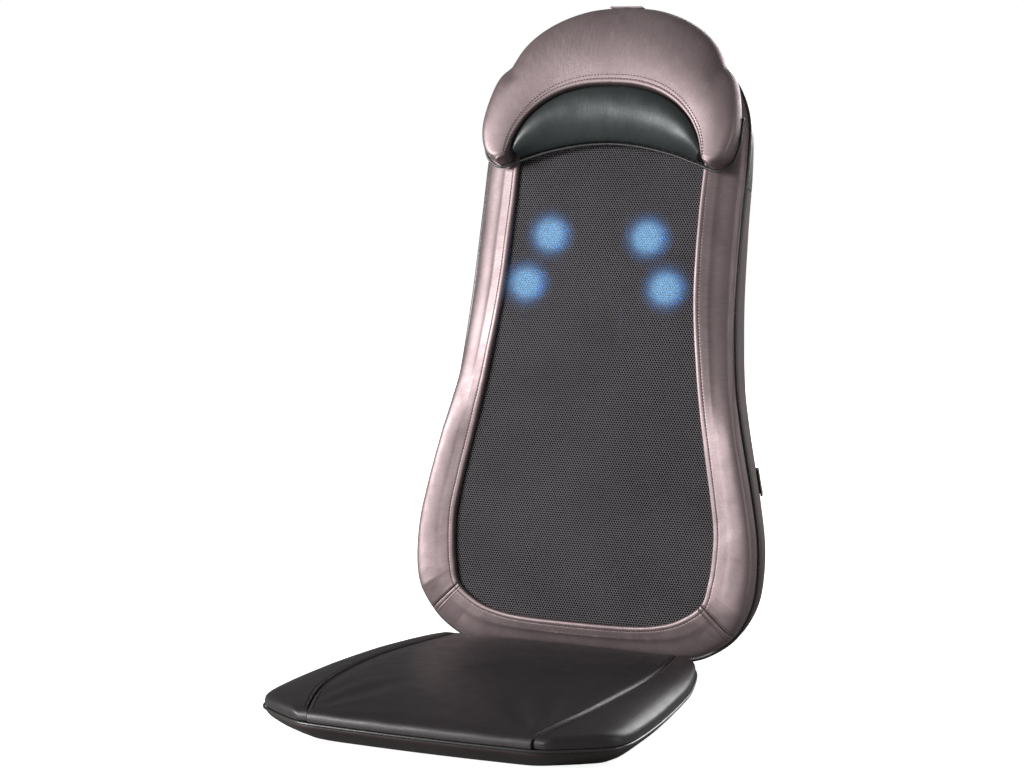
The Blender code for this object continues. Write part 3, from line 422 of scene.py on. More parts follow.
class Nodes:
    """Short helpers that add shader nodes to one tree."""

    def __init__(self, tree):
        self.tree = tree

    def feed(self, socket, value):
        if isinstance(value, bpy.types.NodeSocket):
            self.tree.links.new(value, socket)
        elif socket.type == "RGBA":
            socket.default_value = (*value, 1.0)
        else:
            socket.default_value = value

    def add(self, kind, inputs, **settings):
        node = self.tree.nodes.new("ShaderNode" + kind)
        for key, value in settings.items():
            setattr(node, key, value)
        for key, value in inputs.items():
            self.feed(node.inputs[key], value)
        return node.outputs

    def surface(self, inputs):
        for key, value in inputs.items():
            self.feed(self.tree.nodes["Principled BSDF"].inputs[key], value)

    def maths(self, operation, *values):
        return self.add("Math", dict(enumerate(values)), operation=operation)[0]

    def times(self, first, second):
        return self.maths("MULTIPLY", first, second)

    def plus(self, first, second):
        return self.maths("ADD", first, second)

    def span(self, value, low, high, to_low=0.0, to_high=1.0, smooth=True):
        limits = {"Value": value, "From Min": low, "From Max": high, "To Min": to_low,
                  "To Max": to_high}
        kind = "SMOOTHSTEP" if smooth else "LINEAR"
        return self.add("MapRange", limits, interpolation_type=kind)["Result"]

    def mix(self, share, first, second):
        return self.add("Mix", {0: share, 6: first, 7: second}, data_type="RGBA")[2]

    def coordinates(self, source):
        return self.add("TexCoord", {})[source]

    def noise(self, scale, detail=3.0, roughness=0.5, stretch=(1.0, 1.0, 1.0), source="Object"):
        spot = self.add("Mapping", {"Vector": self.coordinates(source), "Scale": stretch})[0]
        return self.add("TexNoise", {"Vector": spot, "Scale": scale, "Detail": detail,
                                     "Roughness": roughness})["Fac"]

    def pebbles(self, scale):
        """Leather grain: rounded cells parted by fine creases."""
        cells = self.add("TexVoronoi", {"Vector": self.coordinates("Object"), "Scale": scale,
                                        "Randomness": 0.9}, feature="DISTANCE_TO_EDGE")
        return self.span(cells["Distance"], 0.0, 0.22)

    def bump(self, height, strength, distance, **under):
        return self.add("Bump", {"Height": height, "Strength": strength, "Distance": distance,
                                 **under})["Normal"]

    def seen_directly(self):
        """1 for what the camera sees straight, 0 for reflections and bounced light."""
        return self.add("LightPath", {})["Is Camera Ray"]

    def plan(self):
        """Distances along and across the piece, in metres."""
        parts = self.add("SeparateXYZ", {"Vector": self.coordinates("UV")})
        return parts["X"], parts["Y"]


def material(name):
    slot = bpy.data.materials.new(name)
    slot.use_nodes = True
    return slot, Nodes(slot.node_tree)


def shade(colour, factor, lift=0.0):
    return tuple(min(1.0, c * factor + lift) for c in colour)


def leather(name, dark, light, roughness, metallic=0.0, coat=0.0, grain=0.1):
    """Smooth finished leather: cloudy tone, fine grain with painted shade in its creases, a painted
    highlight on sharp convex ridges, and uneven shine.
    """
    slot, n = material(name)
    cloud = n.span(n.noise(9.0, 4.0), 0.3, 0.7)
    streak = n.span(n.noise(700.0, stretch=(1.0, 0.08, 1.0), source="UV"), 0.25, 0.75)
    tone = n.plus(n.times(cloud, 0.65), n.times(streak, 0.35))
    cells = n.pebbles(850.0)
    # painted highlight: the colour is lightened on sharp convex ridges (high pointiness)
    ridge_highlight = n.span(n.add("NewGeometry", {})["Pointiness"], 0.505, 0.56)
    colour = n.mix(n.times(ridge_highlight, 0.5), n.mix(tone, dark, light), shade(light, 1.45, 0.01))
    # painted shade: the grain's creases are darkened towards a darker copy of the leather
    creases = n.times(n.maths("SUBTRACT", 1.0, cells), 0.35)
    shine = n.plus(n.times(n.noise(60.0, 4.0), 0.16), n.times(streak, 0.08))
    fine = n.bump(streak, 0.12, 0.0003, Normal=n.bump(cells, grain, 0.0004))
    n.surface({"Base Color": n.mix(creases, colour, shade(dark, 0.72)),
               "Roughness": n.plus(shine, roughness - 0.12), "Metallic": metallic,
               "Coat Weight": coat, "Coat Roughness": 0.45,
               "Normal": n.bump(n.noise(45.0, 4.0), 0.1, 0.002, Normal=fine)})
    return slot


def plastic(name, colour, roughness, grain=0.25):
    """Moulded plastic with spark-eroded texture and handling marks."""
    slot, n = material(name)
    tone = n.span(n.noise(14.0, 5.0), 0.3, 0.7)
    marks = n.times(n.noise(90.0, 6.0, 0.7), 0.22)
    n.surface({"Base Color": n.mix(tone, colour, shade(colour, 1.3, 0.004)),
               "Roughness": n.plus(marks, roughness - 0.1),
               "Normal": n.bump(n.noise(1500.0, 2.0), grain, 0.0003)})
    return slot


def metal(name, colour, roughness):
    """Turned or ground metal: fine lines across the work, with faint stains."""
    slot, n = material(name)
    lines = n.noise(700.0, stretch=(1.0, 1.0, 0.05))
    stain = n.span(n.noise(30.0, 5.0), 0.35, 0.75)
    n.surface({"Base Color": n.mix(stain, colour, shade(colour, 0.78)), "Metallic": 1.0,
               "Roughness": n.plus(n.times(lines, 0.2), roughness - 0.05),
               "Normal": n.bump(lines, 0.15, 0.0002)})
    return slot


def webbing_material(name, colour):
    """Woven nylon tape: ribs along the tape crossed by picks."""
    slot, n = material(name)
    along, across = n.plan()
    ribs = n.maths("SINE", n.times(across, math.tau / 0.0016))
    picks = n.maths("SINE", n.times(along, math.tau / 0.0022))
    height = n.span(n.times(ribs, picks), -0.8, 0.8)
    # painted highlight and shade: raised threads of the weave lighter, its hollows darker
    n.surface({"Base Color": n.mix(height, colour, shade(colour, 2.4)), "Roughness": 0.82,
               "Sheen Weight": 0.25, "Normal": n.bump(height, 0.6, 0.0004)})
    return slot


# the holes keep almost all their alpha, so their near-black colour is painted shade of the space
# behind
HOLE_PITCH = 0.0032
HOLE_ROW = 0.0028
HOLE_RADIUS = 0.00122
HOLE_ALPHA = 0.975
YARN_ALPHA = 0.992


def spacer_mesh(name):
    """Knitted spacer fabric: staggered round holes through grey yarn. The holes are near-black and
    almost opaque, painted shade of the dark space behind the mesh.
    """
    slot, n = material(name)
    along, across = n.plan()
    rows = n.maths("DIVIDE", along, HOLE_ROW)
    odd = n.times(n.maths("MODULO", n.maths("FLOOR", rows), 2.0), 0.5)
    columns = n.plus(n.maths("DIVIDE", across, HOLE_PITCH), odd)
    up = n.times(n.maths("SUBTRACT", n.maths("FRACT", rows), 0.5), HOLE_ROW)
    side = n.times(n.maths("SUBTRACT", n.maths("FRACT", columns), 0.5), HOLE_PITCH)
    reach = n.maths("SQRT", n.plus(n.times(up, up), n.times(side, side)))
    yarn = n.span(reach, HOLE_RADIUS * 0.85, HOLE_RADIUS * 1.12)
    crown = n.span(reach, HOLE_RADIUS * 0.9, HOLE_RADIUS * 1.9)
    tone = n.span(n.noise(12.0), 0.3, 0.7)
    twist = n.times(n.span(n.noise(1400.0, 2.0), 0.3, 0.7), 0.45)
    colour = n.mix(tone, (0.086, 0.078, 0.084), (0.114, 0.104, 0.111))
    colour = n.mix(twist, colour, (0.21, 0.195, 0.208))
    # holes: near-black colour with no specular at nearly full alpha, painted shade of the space behind
    # the yarn
    n.surface({"Base Color": n.mix(yarn, (0.002, 0.002, 0.003), colour), "Roughness": 0.72,
               "Sheen Weight": 0.04, "Specular IOR Level": n.times(yarn, 0.3),
               "Normal": n.bump(crown, 0.8, 0.0007),
               "Alpha": n.span(yarn, 0.0, 1.0, HOLE_ALPHA, YARN_ALPHA, smooth=False)})
    return slot


def painted_glow_material(name, strength):
    """Painted glow of the node lens, an emission rather than a lamp: brightest on its crown, deep blue
    at its rim.
    """
    slot, n = material(name)
    rim = n.span(n.add("LayerWeight", {"Blend": 0.35})["Facing"], 0.05, 0.95)
    frost = n.span(n.noise(220.0), 0.3, 0.7, 0.85, 1.0)
    colour = n.mix(rim, (0.5, 0.8, 1.0), (0.05, 0.22, 0.95))
    n.surface({"Base Color": colour, "Emission Color": colour, "Roughness": 0.3,
               "Emission Strength": n.times(frost, strength)})
    return slot


def painted_halo_material(name, strength):
    """Painted glow round a node, spread as if through the yarn: pale core, blue rim, fading out."""
    slot, n = material(name)
    reach = n.add("VectorMath", {0: n.coordinates("UV")}, operation="LENGTH")["Value"]
    core = n.span(reach, 0.2, 0.66, 1.0, 0.0)
    cover = n.span(reach, 0.28, 0.98, 1.0, 0.0)
    mottle = n.span(n.noise(160.0), 0.2, 0.8, 0.9, 1.0)
    colour = n.mix(core, (0.06, 0.25, 0.66), (0.24, 0.57, 0.96))
    power = n.span(core, 0.0, 1.0, strength * 0.7, strength, smooth=False)
    n.surface({"Base Color": colour, "Emission Color": colour, "Roughness": 0.5,
               "Emission Strength": n.times(power, mottle), "Alpha": n.times(cover, cover)})
    return slot


def circuit_board(name):
    """Green lacquer crossed by fine copper tracks."""
    slot, n = material(name)
    tracks = n.add("TexBrick", {"Vector": n.coordinates("Object"), "Scale": 120.0,
                                "Mortar Size": 0.03, "Color1": (0.02, 0.12, 0.05),
                                "Color2": (0.03, 0.15, 0.065), "Mortar": (0.55, 0.4, 0.16)})
    n.surface({"Base Color": tracks["Color"], "Roughness": 0.4,
               "Normal": n.bump(tracks["Fac"], 0.3, 0.0002)})
    return slot


SLOTS = {
    "brown": leather("satin_brown_leather", (0.215, 0.16, 0.166), (0.33, 0.258, 0.265), 0.47,
                     metallic=0.62),
    "cover": leather("cover_brown_leather", (0.055, 0.021, 0.019), (0.085, 0.037, 0.034), 0.68),
    "seat": leather("seat_dark_leather", (0.0165, 0.0135, 0.0145), (0.028, 0.022, 0.023), 0.42,
                    coat=0.15),
    "band": leather("seat_band_leather", (0.024, 0.016, 0.016), (0.042, 0.029, 0.028), 0.42),
    "insert": leather("glossy_black_leather", (0.026, 0.031, 0.031), (0.044, 0.052, 0.051), 0.37,
                      metallic=0.2, grain=0.06),
    "gusset": leather("gusset_black_leather", (0.014, 0.014, 0.014), (0.026, 0.026, 0.026), 0.3,
                      coat=0.3, grain=0.06),
    "piping": leather("piping_black", (0.012, 0.012, 0.012), (0.024, 0.023, 0.023), 0.24,
                      coat=0.6, grain=0.03),
    "tab": leather("tab_leather", (0.19, 0.14, 0.14), (0.25, 0.19, 0.19), 0.5),
    "pocket": leather("pocket_dark_leather", (0.02, 0.017, 0.017), (0.034, 0.028, 0.028), 0.46),
    "mesh": spacer_mesh("spacer_mesh"),
    "webbing": webbing_material("webbing_black", (0.012, 0.012, 0.013)),
    "thread": plastic("brown_thread", (0.085, 0.052, 0.054), 0.6, 0.4),
    "dark_thread": plastic("dark_thread", (0.03, 0.024, 0.024), 0.55, 0.4),
    "shell": plastic("black_abs", (0.016, 0.016, 0.017), 0.52, 0.5),
    "inner": plastic("dark_abs", (0.011, 0.011, 0.012), 0.6),
    "grey": plastic("grey_abs", (0.28, 0.28, 0.29), 0.42),
    "nylon": plastic("white_nylon", (0.62, 0.61, 0.57), 0.45),
    "rubber": plastic("cable_rubber", (0.012, 0.012, 0.012), 0.6, 0.3),
    "steel": metal("bright_steel", (0.56, 0.56, 0.57), 0.28),
    "brass": metal("brass", (0.68, 0.5, 0.23), 0.32),
    "board": circuit_board("board_green"),
    # painted glow: emission on the massage nodes and on the discs round them
    "glow": painted_glow_material("node_blue", 0.4),
    "halo": painted_halo_material("halo_painted_glow", 37.0),
    "shell_smooth": plastic("controller_abs", (0.014, 0.014, 0.015), 0.34, 0.15),
}


# ---- back unit ----

# border section from its inner lower edge over the front and round the side, each point
# (metres from the inner edge, share of the width, outward offset, depth)
BORDER_HEM = [
    (0.0003, 0.0056), (0.0002, 0.0012), (0.0003, -0.0016), (0.0007, -0.0038), (0.0017, -0.0049),
    (0.0042, -0.0053), (0.0064, -0.0053), (0.0072, -0.005), (0.008, -0.0053), (0.01, -0.0055),
    (0.015, -0.0057)]
BORDER_FACE = [
    (0.5, -0.0058), (0.68, -0.0055), (0.8, -0.0047), (0.88, -0.0032), (0.94, -0.0002), (0.975, 0.0042),
    (0.993, 0.009)]
BORDER_SIDE = [(-0.0002, 0.0132), (-0.0014, 0.0154), (-0.0034, 0.0166)]
BORDER_SECTION = [(near, 0.0, 0.0, depth) for near, depth in BORDER_HEM]
BORDER_SECTION += [(0.005, 0.28, 0.0, -0.0058)]
BORDER_SECTION += [(0.0, share, 0.0, depth) for share, depth in BORDER_FACE]
BORDER_SECTION += [(0.0, 1.0, offset, depth) for offset, depth in BORDER_SIDE]
BORDER_BACK = [
    (0.0, 1.0, -0.006, 0.018), (0.0, 0.62, 0.0, 0.0183), (0.0, 0.46, 0.0, 0.0176),
    (0.0, 0.34, 0.0, 0.0068)]
BORDER_GROOVE = (0.0072, 0.0, 0.0, -0.0052)
BORDER_DEEPEST = 0.0168
BORDER_LEAN = [
    (0.0, 0.34), (3.0, 0.28), (4.8, -0.05), (9.3, -0.08), (10.2, 0.06), (11.2, 0.22), (12.2, 0.29),
    (19.0, 0.29)]
BORDER_STEPS = 3
END_ROLL = 0.002
SEAM_FOLD = 0.005


def border_point(station, side, near, across, offset, depth, drop=0.0):
    """Point of the border's front, which leans back outwards at the top and the bottom."""
    inner, outer, _ = outline_at(station, side)
    reach = max(near - 0.004, 0.0) + across * np.linalg.norm(outer - inner)
    lean = np.interp(station, [p[0] for p in BORDER_LEAN], [p[1] for p in BORDER_LEAN])
    share = min(max(1.0 - depth / BORDER_DEEPEST, 0.0), 1.0)
    return band_point(station, side, near, across, offset, depth + (lean * reach + drop) * share)


def border_ring(station, side, seam_distance, fold=0.0):
    """Ring of the border, rolled down next to a cross seam, with a crease along its fold."""
    inside = 1.0 - min(seam_distance / END_ROLL, 1.0)
    drop = END_ROLL * 0.8 * (1.0 - math.sqrt(max(0.0, 1.0 - inside * inside)))
    drop += fold * math.exp(-((seam_distance - SEAM_FOLD) / 0.0007) ** 2)
    ring = []
    for point in smooth_line(BORDER_SECTION, BORDER_STEPS):
        spot = border_point(station, side, *point, drop)
        wave = ripple(spot, 22.0, 0.0006) + ripple(spot, 75.0, 0.00022, 4.0)
        ring.append(spot + Vector((0.0, wave * min(max(0.8 - point[3] / 0.008, 0.0), 1.0), 0.0)))
    ring += [band_point(station, side, *p) for p in BORDER_BACK]
    return ring


def seam_stations(low, high, count, spread):
    """Stations from low to high, gathered towards both ends."""
    shares = np.linspace(0.0, 1.0, count + 1)
    return list(low + (high - low) * (shares - spread * np.sin(math.tau * shares) / math.tau))


def station_distance(first, second):
    """Rough length along the border's middle between two stations."""
    a = (spline(INNER, first) + spline(OUTER, first)) * 0.5
    b = (spline(INNER, second) + spline(OUTER, second)) * 0.5
    return np.linalg.norm(a - b)


def border_side(name, side):
    low = MITRE_STATION + 0.012
    high = LAST_STATION - 0.005
    rings = []
    for station in seam_stations(low, high, 240, 0.75):
        near_end = min(station_distance(station, low), station_distance(station, high))
        rings.append(border_ring(station, side, near_end))
    loft(name, rings, "brown", "back_unit")


def border_bottom():
    high = MITRE_STATION - 0.012
    per_metre = 0.1 / station_distance(high, high - 0.1)
    half = seam_stations(0.0, high, 90, 0.6)
    half += [high - (SEAM_FOLD + shift) * per_metre for shift in np.linspace(-0.0016, 0.0016, 9)]
    half.sort()
    rings = [border_ring(s, side, station_distance(s, high), 0.0009)
             for side, s in mirrored(reversed(half))]
    loft("border_bottom", rings, "brown", "back_unit")


def border_stitching():
    """One row round the mesh, and rows beside each mitre seam."""
    rows = []
    for side in (1.0, -1.0):
        rows.append([border_point(s, side, *BORDER_GROOVE)
                     for s in np.linspace(MITRE_STATION + 0.05, LAST_STATION - 0.06, 240)])
    rows.append([border_point(s, side, *BORDER_GROOVE)
                 for side, s in mirrored(np.linspace(MITRE_STATION - 0.05, 0.0, 60))])
    across = [p for p in smooth_line(BORDER_SECTION, BORDER_STEPS) if p[3] < 0.004][9:]
    for side in (1.0, -1.0):
        for shift in (-0.235, 0.085):
            rows.append([border_point(MITRE_STATION + shift, side, *p) for p in across])
    stitches("border_stitching", rows, "thread", "back_unit")


def mesh_panel():
    """Crowned sheet of spacer mesh, whose edge is tucked under the border."""
    columns = 56
    rows = 190
    start = 0.55
    end = LAST_STATION - 0.55
    rings = []
    for row in range(rows + 1):
        inner = spline(INNER, start + (end - start) * row / rows)
        half = inner[0] + 0.003
        ring = []
        for column in range(columns + 1):
            f = 2.0 * column / columns - 1.0
            depth = 0.0012 - 0.0032 * (1.0 - f * f)
            spot = back_point(half * f, depth, inner[1])
            ring.append(spot + Vector((0.0, ripple(spot, 9.0, 0.001), 0.0)))
        rings.append(ring)
    piece = loft("mesh_panel", rings, "mesh", None, open_sheet=True)
    flatten_uv(piece)
    take_place(piece, "mesh_panel", "back_unit")


def flatten_uv(piece):
    """UVs of the mesh panel: height up the spine, and distance across from its middle."""
    layer = piece.data.uv_layers["Metres"]
    for loop in piece.data.loops:
        spot = piece.data.vertices[loop.vertex_index].co
        rise = (spot - RAIL_ORIGIN).dot(RAIL_UP)
        layer.data[loop.index].uv = (rise + 0.5, spot.x + 0.5)


def edge_piping():
    rings = []
    for side, station in mirrored(np.linspace(0.0, LAST_STATION, 171))[:-1]:
        _, outer, normal = outline_at(station, side)
        ring = []
        for angle in np.linspace(0.0, 2.0 * math.pi, 12, endpoint=False):
            flat = outer + normal * PIPING_RADIUS * math.cos(angle)
            depth = PIPING_DEPTH + PIPING_RADIUS * math.sin(angle)
            ring.append(back_point(flat[0], depth, flat[1]))
        rings.append(ring)
    loft("edge_piping", rings, "piping", "back_unit", closed=True)


def edge_points(station, side, profile):
    """Points off the outline: each an offset and a depth, or a distance short of the rear."""
    points = []
    for offset, depth, short in profile:
        point = band_point(station, side, 0.0, 1.0, offset, depth)
        points.append(point if short is None else to_rear(point, short))
    return points


def wrap_ring(station, side, front, back):
    """Ring of a thin wrap: its outer profile out to the back, then its inner one."""
    return [Vector(p) for profile in (front, back)
            for p in smooth_line(edge_points(station, side, profile), 4)]


COVER_OUT = [(0.0, 0.022, None), (0.0, 0.034, None), (-0.0085, 0.034, 0.015), (-0.019, 0.034, 0.0006)]
COVER_IN = [
    (-0.0202, 0.034, 0.0013), (-0.0094, 0.034, 0.0151), (-0.0021, 0.034, None), (-0.0021, 0.022, None)]
GUSSET_OUT = [(-0.0008, 0.022, None), (-0.0008, 0.034, None), (-0.0085, 0.034, 0.015)]
GUSSET_IN = [(-0.01, 0.034, 0.0156), (-0.0022, 0.034, None), (-0.0022, 0.022, None)]


def rear_cover():
    spots = mirrored(np.linspace(COVER_TOP_STATION, 0.0, 211))
    rings = [wrap_ring(station, side, COVER_OUT, COVER_IN) for side, station in spots]
    loft("rear_cover", rings, "cover", "back_unit")
    hem = [to_rear(band_point(station, side, 0.0, 1.0, -0.013, 0.034), 0.0046)
           for side, station in spots]
    stitches("cover_stitching", [hem], "thread", "back_unit", front=RAIL_BACK)


def top_gusset():
    spots = mirrored(np.linspace(COVER_TOP_STATION + 0.03, LAST_STATION, 131))
    rings = [wrap_ring(station, side, GUSSET_OUT, GUSSET_IN) for side, station in spots]
    loft("top_gusset", rings, "gusset", "back_unit")


STRAP_STATIONS = (8.15, 8.78)
STRAP_THICK = 0.0017


def tape(name, low, high, per_span, body):
    """Woven tape between its lower and upper edge lines, with softly rounded edges."""
    low = [Vector(p) for p in smooth_line(low, per_span)]
    high = [Vector(p) for p in smooth_line(high, per_span)]
    rings = []
    for index in range(len(low)):
        before = low[max(index - 1, 0)]
        after = low[min(index + 1, len(low) - 1)]
        up = (high[index] - low[index]).normalized()
        normal = (after - before).cross(up).normalized() * STRAP_THICK
        ring = []
        for layer, shares in ((0.0, (0.01, 0.25, 0.5, 0.75, 0.99)),
                              (0.5, (1.0,)), (1.0, (0.99, 0.75, 0.5, 0.25, 0.01)), (0.5, (0.0,))):
            for share in shares:
                spot = low[index].lerp(high[index], share)
                ring.append(spot + normal * layer)
        rings.append(ring)
    loft(name, rings, "webbing", body)


def strap_line(station):
    spots = [(-0.0056, 0.034, 0.023), (-0.0068, 0.034, 0.015), (-0.0125, 0.034, 0.005),
             (-0.0195, 0.034, -0.004)]
    side = edge_points(station, 1.0, spots)
    level = side[0].z
    side = [p - RAIL_UP * ((p.z - level) / RAIL_UP.z) for p in side]
    middle = to_rear(side[-1], -0.0062)
    middle.x = 0.12
    half = side + [middle]
    return half + [Vector((-p.x, p.y, p.z)) for p in reversed(half)]


def straps():
    tape("strap_lower", strap_line(STRAP_STATIONS[0]), strap_line(STRAP_STATIONS[1]), 8, "back_unit")
    bow = [(0.135, 0.0026), (0.11, 0.0026), (0.07, 0.01), (0.0, 0.014), (-0.07, 0.01),
           (-0.11, 0.0026), (-0.135, 0.0026)]
    low = [rail_point(x, REAR_DEPTH + depth, 0.045) for x, depth in bow]
    high = [rail_point(x, REAR_DEPTH + depth, 0.075) for x, depth in bow]
    tape("strap_upper", low, high, 10, "back_unit")
    rows = []
    for sign in (-1.0, 1.0):
        for x in (0.116, 0.13):
            rows.append([rail_point(sign * x, REAR_DEPTH + 0.0043, up) for up in (0.047, 0.073)])
        rows.append([rail_point(sign * 0.116, REAR_DEPTH + 0.0043, 0.047),
                     rail_point(sign * 0.13, REAR_DEPTH + 0.0043, 0.073)])
        rows.append([rail_point(sign * 0.116, REAR_DEPTH + 0.0043, 0.073),
                     rail_point(sign * 0.13, REAR_DEPTH + 0.0043, 0.047)])
    stitches("strap_stitching", rows, "dark_thread", "back_unit", front=RAIL_BACK)


def fold_gusset():
    """Woven strip that bends between the back's bottom edge and the seat's rear edge."""
    path = [(-0.0262, 0.0286), (-0.0225, 0.0272), (-0.019, 0.0255), (-0.015, 0.0232),
            (-0.011, 0.0216), (-0.006, 0.0215), (0.0, 0.0222), (0.006, 0.0216),
            (0.011, 0.0206)]
    thick = 0.0018
    line = smooth_line(path, 5)
    rings = []
    for x in np.linspace(-0.135, 0.135, 60):
        sag = 0.0008 * noise(Vector((x * 40.0, 0.0, 2.0)))
        top = [Vector((x, BACK_Y + y, z + sag)) for y, z in line]
        low = [Vector((x, BACK_Y + y, z + sag - thick)) for y, z in reversed(line)]
        rings.append(top + low)
    piece = loft("fold_gusset", rings, "webbing", None)
    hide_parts("fold_gusset")
    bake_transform(piece)


def controller_pocket():
    """Sewn open-topped pocket: rounded corners, a rolled hem and a stitched edge."""
    inner = CONTROLLER_HALF + 0.0014
    face = REAR_DEPTH + 0.0024
    deep = face + CONTROLLER_THICK + 0.0026
    low = CONTROLLER_LOW + 0.006
    high = CONTROLLER_LOW + 0.072
    rings = []
    for up in np.linspace(low, high, 40):
        near_top = max(0.0, 1.0 - (high - up) / 0.0045)
        wall = 0.0013 + 0.0007 * math.sin(math.pi * min(near_top, 1.0))
        belly = 0.0006 * math.sin(math.pi * (up - low) / (high - low))
        outer_line = pocket_line(inner + wall, face, deep + wall + belly, 0.005)
        inner_line = pocket_line(inner, face, deep + belly, 0.0036)
        ring = [rail_point(CONTROLLER_X + x, d, up) for x, d in outer_line]
        ring += [rail_point(CONTROLLER_X + x, d, up) for x, d in reversed(inner_line)]
        rings.append(ring)
    loft("controller_pocket", rings, "pocket", "back_unit")
    row = [rail_point(CONTROLLER_X + x, deep + 0.0016, high - 0.0062)
           for x in np.linspace(0.004 - inner, inner - 0.004, 12)]
    stitches("pocket_stitching", [row], "thread", "back_unit", front=RAIL_BACK)


def pocket_line(half, face, deep, corner):
    """Open line round three sides of the pocket with rounded rear corners."""
    line = [(-half, face), (-half, (face + deep) / 2)]
    for centre, first, last in ((corner - half, 180.0, 90.0), (half - corner, 90.0, 0.0)):
        for turn in np.radians(np.linspace(first, last, 6)):
            line.append((centre + corner * math.cos(turn), deep - corner + corner * math.sin(turn)))
    return line + [(half, (face + deep) / 2), (half, face)]


def controller_cable():
    """Cable that follows the handset out of its pocket."""
    path = [(-0.02, -0.33, 0.0046), (-0.03, -0.345, 0.0058), (-0.05, -0.35, 0.0092),
            (-0.07, -0.335, 0.0122), (-0.08, -0.305, 0.0132), (-0.085, -0.265, 0.0132),
            (-0.085, -0.231, 0.013)]
    points = [rail_point(p[0], REAR_DEPTH + p[2], p[1]) for p in smooth_line(path, 14)]
    piece = tube("controller_cable", points, 0.0021, 12, "rubber", None)
    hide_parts("controller_cable")
    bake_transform(piece)


# ---- head cushion ----

# share from the hem to the outer edge, depth over the top, and depth in the lobes
PAD_SECTION = [
    (0.0, -0.018, -0.018), (0.0, -0.03, -0.0306), (0.002, -0.0345, -0.0352), (0.007, -0.0363, -0.0371),
    (0.016, -0.0372, -0.0379), (0.036, -0.0378, -0.0384), (0.058, -0.0377, -0.0383),
    (0.07, -0.0379, -0.0385), (0.1, -0.0383, -0.0388), (0.18, -0.039, -0.0392),
    (0.3, -0.0397, -0.0395), (0.45, -0.0397, -0.0396), (0.6, -0.0386, -0.0394),
    (0.74, -0.0361, -0.0388), (0.86, -0.032, -0.0372), (0.94, -0.0266, -0.0336),
    (0.985, -0.0206, -0.026), (1.0, -0.016, -0.018), (0.99, -0.013, -0.013)]
PAD_BACK = [(share, CUSHION_BACK, CUSHION_BACK) for share in (0.96, 0.7, 0.4, 0.15, 0.01)]
PAD_GROOVE = (0.057, -0.0379, -0.0385)
PAD_GROOVE_SECOND = (0.1, -0.0385, -0.039)
LOBE_LAST = 9.0
LOBE_TIP = 9.45


def cushion_curves(station):
    """Inner and outer points of the cushion, drawn together round the lobe's tip."""
    inside = spline(CUSHION_INNER, min(station, LOBE_LAST))
    outside = spline(CUSHION_OUTER, min(station, LOBE_LAST))
    dent = 0.0045 * math.exp(-((station - 4.1) / 0.4) ** 2)
    outside = outside + (inside - outside) / np.linalg.norm(inside - outside) * dent
    if station > LOBE_LAST:
        share = (station - LOBE_LAST) / (LOBE_TIP - LOBE_LAST)
        close = 1.0 - math.sqrt(max(0.0, 1.0 - share * share))
        middle = (inside + outside) * 0.5 + np.array((0.0, -0.0042 * share))
        inside = inside + (middle - inside) * close + np.array((0.0, -0.0042 * share * (1 - close)))
        outside = outside + (middle - outside) * close + np.array((0.0, -0.0042 * share * (1 - close)))
    return inside, outside


def cushion_spot(side, station, across, depth, curves=cushion_curves, full_width=0.026):
    inside, outside = curves(station)
    width = np.linalg.norm(outside - inside)
    filled = min(width / full_width, 1.0)
    swell = 0.3 + 0.7 * math.sqrt(filled * (2.0 - filled))
    flat = inside * (1.0 - across) + outside * across
    deep = CUSHION_BACK + (depth - CUSHION_BACK) * swell
    return back_point(side * flat[0], deep, flat[1])


def pad_spot(side, station, across, top, lobe):
    """Point of the pad's front, whose section changes from the top to the lobes."""
    share = min(max((station - 4.0) / 3.0, 0.0), 1.0)
    share = share * share * (3.0 - 2.0 * share)
    return cushion_spot(side, station, across, top * (1.0 - share) + lobe * share)


def cushion_pad():
    """Leather crescent with two lobes: rolled hem, sewn groove and a puffed body."""
    front = smooth_line(PAD_SECTION, 3)
    section = [tuple(p) for p in front] + PAD_BACK
    half = list(np.linspace(LOBE_TIP - 0.02, LOBE_LAST, 8)) + list(np.linspace(LOBE_LAST, 0.0, 78))[1:]
    rings = []
    free = []
    for side, station in mirrored(half):
        rings.append([pad_spot(side, station, *point) for point in section])
        lobe = min(1.0, max(0.0, (LOBE_LAST - station) / 1.2))
        for across, depth, _ in section:
            body = min(max((across - 0.12) / 0.22, 0.0), 1.0) * min((1.02 - across) / 0.14, 1.0)
            free.append(max(0.0, body) * lobe if depth < -0.014 else 0.0)
    piece = loft("cushion_pad", rings, "brown", None)
    inflate(piece, free, 3.0, 0.003)
    take_place(piece, "cushion_pad", "head_cushion")


def cushion_stitching():
    rows = [[pad_spot(side, s, *groove) for side, s in mirrored(np.linspace(8.6, 0.0, 120))]
            for groove in (PAD_GROOVE, PAD_GROOVE_SECOND)]
    stitches("cushion_stitching", rows, "thread", "head_cushion")


INSERT_SECTION = [
    (0.0, -0.012), (0.0, -0.015), (0.03, -0.0184), (0.1, -0.0226), (0.22, -0.0278), (0.36, -0.0322),
    (0.52, -0.0352), (0.68, -0.0364), (0.82, -0.036), (0.92, -0.034), (0.98, -0.0304), (1.0, -0.0262)]


def insert_curves(station):
    inset = [(a - 0.0006 * (a > 0.01), b - 0.0007) for a, b in CUSHION_INNER]
    return spline(CUSHION_ARCH, station), spline(inset, station)


